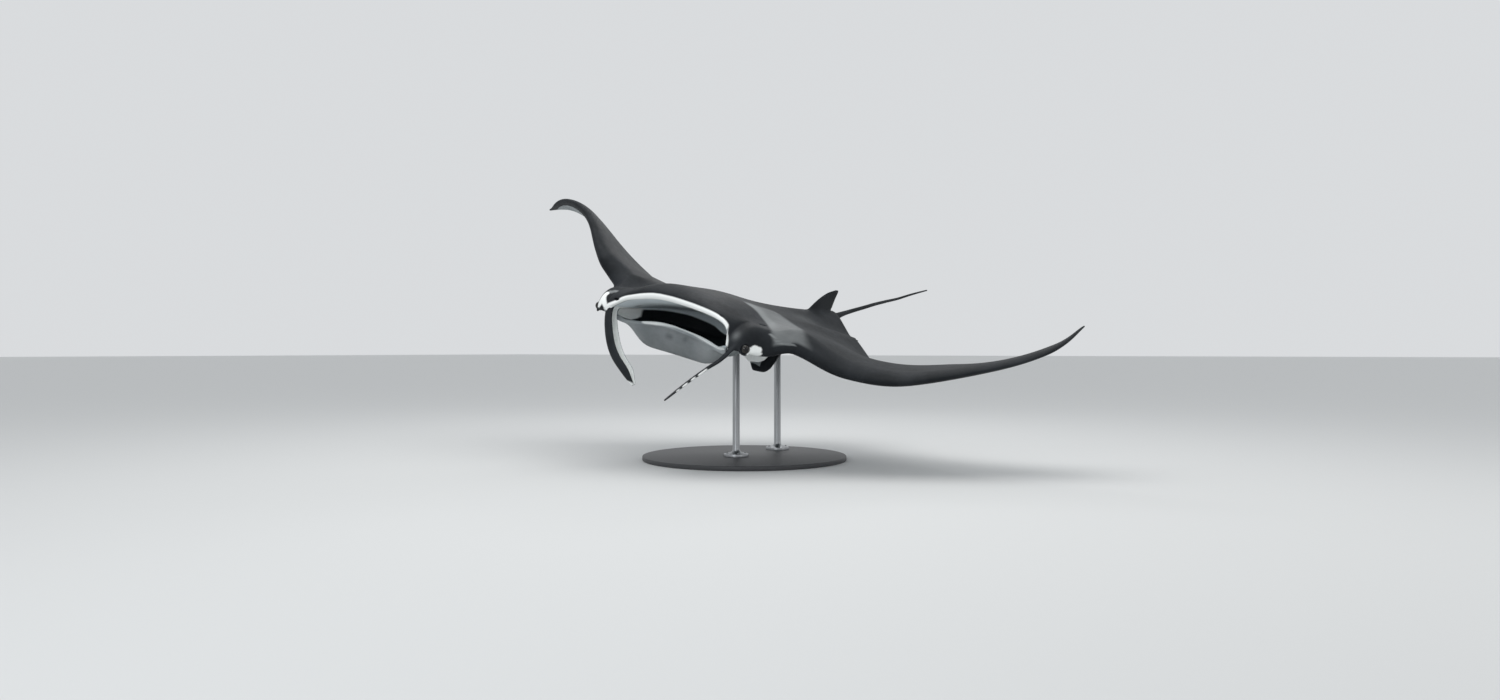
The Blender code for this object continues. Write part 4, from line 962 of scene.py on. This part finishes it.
# Eyes
# Each eye is a wet dark ball with a brown iris and a black pupil, set in its lids on the side of
# the head. Its clear front is drawn out a little.
IRIS_COLOUR = (0.012, 0.009, 0.007, 1)
PUPIL_COLOUR = (0.002, 0.002, 0.003, 1)
RING_COLOUR = (0.03, 0.028, 0.025, 1)
PUPIL_EDGE, IRIS_EDGE = (0.4, 0.52), (0.74, 0.82)
BULGE = 0.0012

ball_paint, tree, shader = new_material("eye_gloss")
way_out = field(tree, "way_out")
iris = blend_colour(noise(object_place(tree), 900, 3), IRIS_COLOUR, RING_COLOUR)
eye_colour = blend_colour(step(way_out, *PUPIL_EDGE), PUPIL_COLOUR, iris)
eye_colour = blend_colour(step(way_out, *IRIS_EDGE), eye_colour, THROAT_SHADE_AND_EYE_COLOUR)
set_node(shader, Base_Color=eye_colour, Roughness=0.14, Specular_IOR_Level=0.35)

for side, node_name in ((1, "eye_left"), (-1, "eye_right")):
    bpy.ops.mesh.primitive_uv_sphere_add(segments=56, ring_count=36, radius=EYE_RADIUS)
    ball = bpy.context.object
    ball.name = node_name + "_ball"
    ball_places = coordinates(ball.data)
    out_share = np.hypot(ball_places[:, 0], ball_places[:, 1]) / EYE_RADIUS
    out_share = np.where(ball_places[:, 2] > 0, out_share, 1)
    ball_places[:, 2] += BULGE * ease((0.62 - out_share) / 0.3)
    turn = np.array(mirrored(EYE_AXIS, side).to_track_quat("Z", "Y").to_matrix())
    ball_places = ball_places @ turn.T + np.array(mirrored(EYE_PLACE, side))
    ball.data.vertices.foreach_set("co", posed(ball_places).ravel())
    attribute = ball.data.attributes.new("way_out", "FLOAT", "POINT")
    attribute.data.foreach_set("value", out_share.astype(np.float32))
    ball.data.update()
    ball.data.shade_smooth()
    ball.data.materials.append(ball_paint)
    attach(ball, "root")
    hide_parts(node_name)


# Stand rods
# Two bright steel rods with turned foot flanges run up to the belly. Each is spun from its profile
# and ends just inside the skin, and four socket screws hold each flange to the base.
ROD_RADIUS = 0.016
FLANGE_RADIUS = 0.055
ROD_SIDES = 72
ROD_COLOURS = (0.27, 0.28, 0.29, 1), (0.42, 0.43, 0.44, 1)
SCREW_COUNT, SCREW_CIRCLE, SCREW_PLACE, SCREW_RADIUS, SCREW_HEIGHT = 4, 0.041, 0.0155, 0.0045, 0.0045
SOCKET_RADIUS, SOCKET_HEIGHT = 0.0026, 0.004
SHARP_EDGE = math.radians(35)


def select_only(*pieces):
    """Select some objects alone, with the last one active."""
    bpy.ops.object.select_all(action="DESELECT")
    for piece in pieces:
        piece.select_set(True)
    bpy.context.view_layer.objects.active = pieces[-1]


steel, tree, shader = new_material("brushed_steel")
stretched = add_node(tree, "ShaderNodeMapping", Vector=object_place(tree), Scale=(1, 1, 0.04))
brush = noise(stretched.outputs["Vector"], 900, 4, 0.7)
set_node(shader, Base_Color=blend_colour(brush, *ROD_COLOURS), Metallic=1.0,
         Roughness=arithmetic("MULTIPLY_ADD", brush, 0.25, 0.22))

for node_name in ("stand_rod_front", "stand_rod_rear"):
    lowest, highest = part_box(node_name)
    centre = (lowest + highest) / 2
    foot = lowest.z
    profile = [(0, highest.z - 0.004), (ROD_RADIUS, highest.z - 0.004), (ROD_RADIUS, foot + 0.03),
               (0.018, foot + 0.0235), (0.0215, foot + 0.0195), (0.026, foot + 0.0175),
               (FLANGE_RADIUS - 0.003, foot + 0.012), (FLANGE_RADIUS - 0.0008, foot + 0.0112),
               (FLANGE_RADIUS, foot + 0.009), (FLANGE_RADIUS, foot), (0, foot)]
    mesh = bpy.data.meshes.new(node_name)
    mesh.from_pydata([(centre.x + r, centre.y, z) for r, z in profile],
                     [(k, k + 1) for k in range(len(profile) - 1)], [])
    rod = add_object(node_name + "_turned", mesh)
    select_only(rod)
    bpy.ops.object.mode_set(mode="EDIT")
    bpy.ops.mesh.select_all(action="SELECT")
    bpy.ops.mesh.spin(steps=ROD_SIDES, angle=2 * math.pi, center=(centre.x, centre.y, 0), axis=(0, 0, 1))
    bpy.ops.mesh.select_all(action="SELECT")
    bpy.ops.mesh.remove_doubles(threshold=0.00005)
    bpy.ops.mesh.normals_make_consistent()
    bpy.ops.object.mode_set(mode="OBJECT")
    screws = []
    for k in range(SCREW_COUNT):
        turn = 2 * math.pi * (k + 0.5) / SCREW_COUNT
        screw_place = Vector((centre.x + SCREW_CIRCLE * math.cos(turn),
                              centre.y + SCREW_CIRCLE * math.sin(turn), foot + SCREW_PLACE))
        bpy.ops.mesh.primitive_cylinder_add(
            vertices=40, radius=SCREW_RADIUS, depth=SCREW_HEIGHT, location=screw_place)
        screw = bpy.context.object
        bpy.ops.mesh.primitive_cylinder_add(
            vertices=6, radius=SOCKET_RADIUS, depth=SOCKET_HEIGHT,
            location=screw_place + Vector((0, 0, SCREW_HEIGHT / 2)))
        boolean_all(screw, [bpy.context.object], "DIFFERENCE")
        screws.append(screw)
    select_only(*screws, rod)
    bpy.ops.object.join()
    bpy.ops.object.shade_smooth_by_angle(angle=SHARP_EDGE)
    rod.data.materials.append(steel)
    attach(rod, "root")
    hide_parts(node_name)


# Stand base
# A heavy round steel plate on the floor under both rods. Its rim is bevelled, and it is powder
# coated in a dark satin grey.
RIM_BEVEL = 0.004
COAT_COLOURS = (0.03, 0.031, 0.034, 1), (0.05, 0.052, 0.056, 1)

_, base_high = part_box("stand_base")
bpy.ops.mesh.primitive_cylinder_add(
    vertices=160, radius=base_high.x, depth=base_high.z, location=(0, 0, base_high.z / 2))
plate = bpy.context.object
plate.name = "stand_base_plate"
bpy.ops.object.transform_apply()
rim_bevel = plate.modifiers.new("rim", "BEVEL")
rim_bevel.width = RIM_BEVEL
rim_bevel.segments = 3
rim_bevel.limit_method = "ANGLE"
bpy.ops.object.modifier_apply(modifier=rim_bevel.name)
bpy.ops.object.shade_smooth_by_angle(angle=SHARP_EDGE)

coating, tree, shader = new_material("powder_coat")
grain = noise(object_place(tree), 700, 2)
orange_peel = add_node(tree, "ShaderNodeBump", Strength=0.15, Distance=0.0005, Height=grain)
set_node(shader, Base_Color=blend_colour(grain, *COAT_COLOURS), Normal=orange_peel.outputs["Normal"],
         Roughness=arithmetic("MULTIPLY_ADD", grain, 0.15, 0.42))
plate.data.materials.append(coating)
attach(plate, "root")
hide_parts("stand_base")
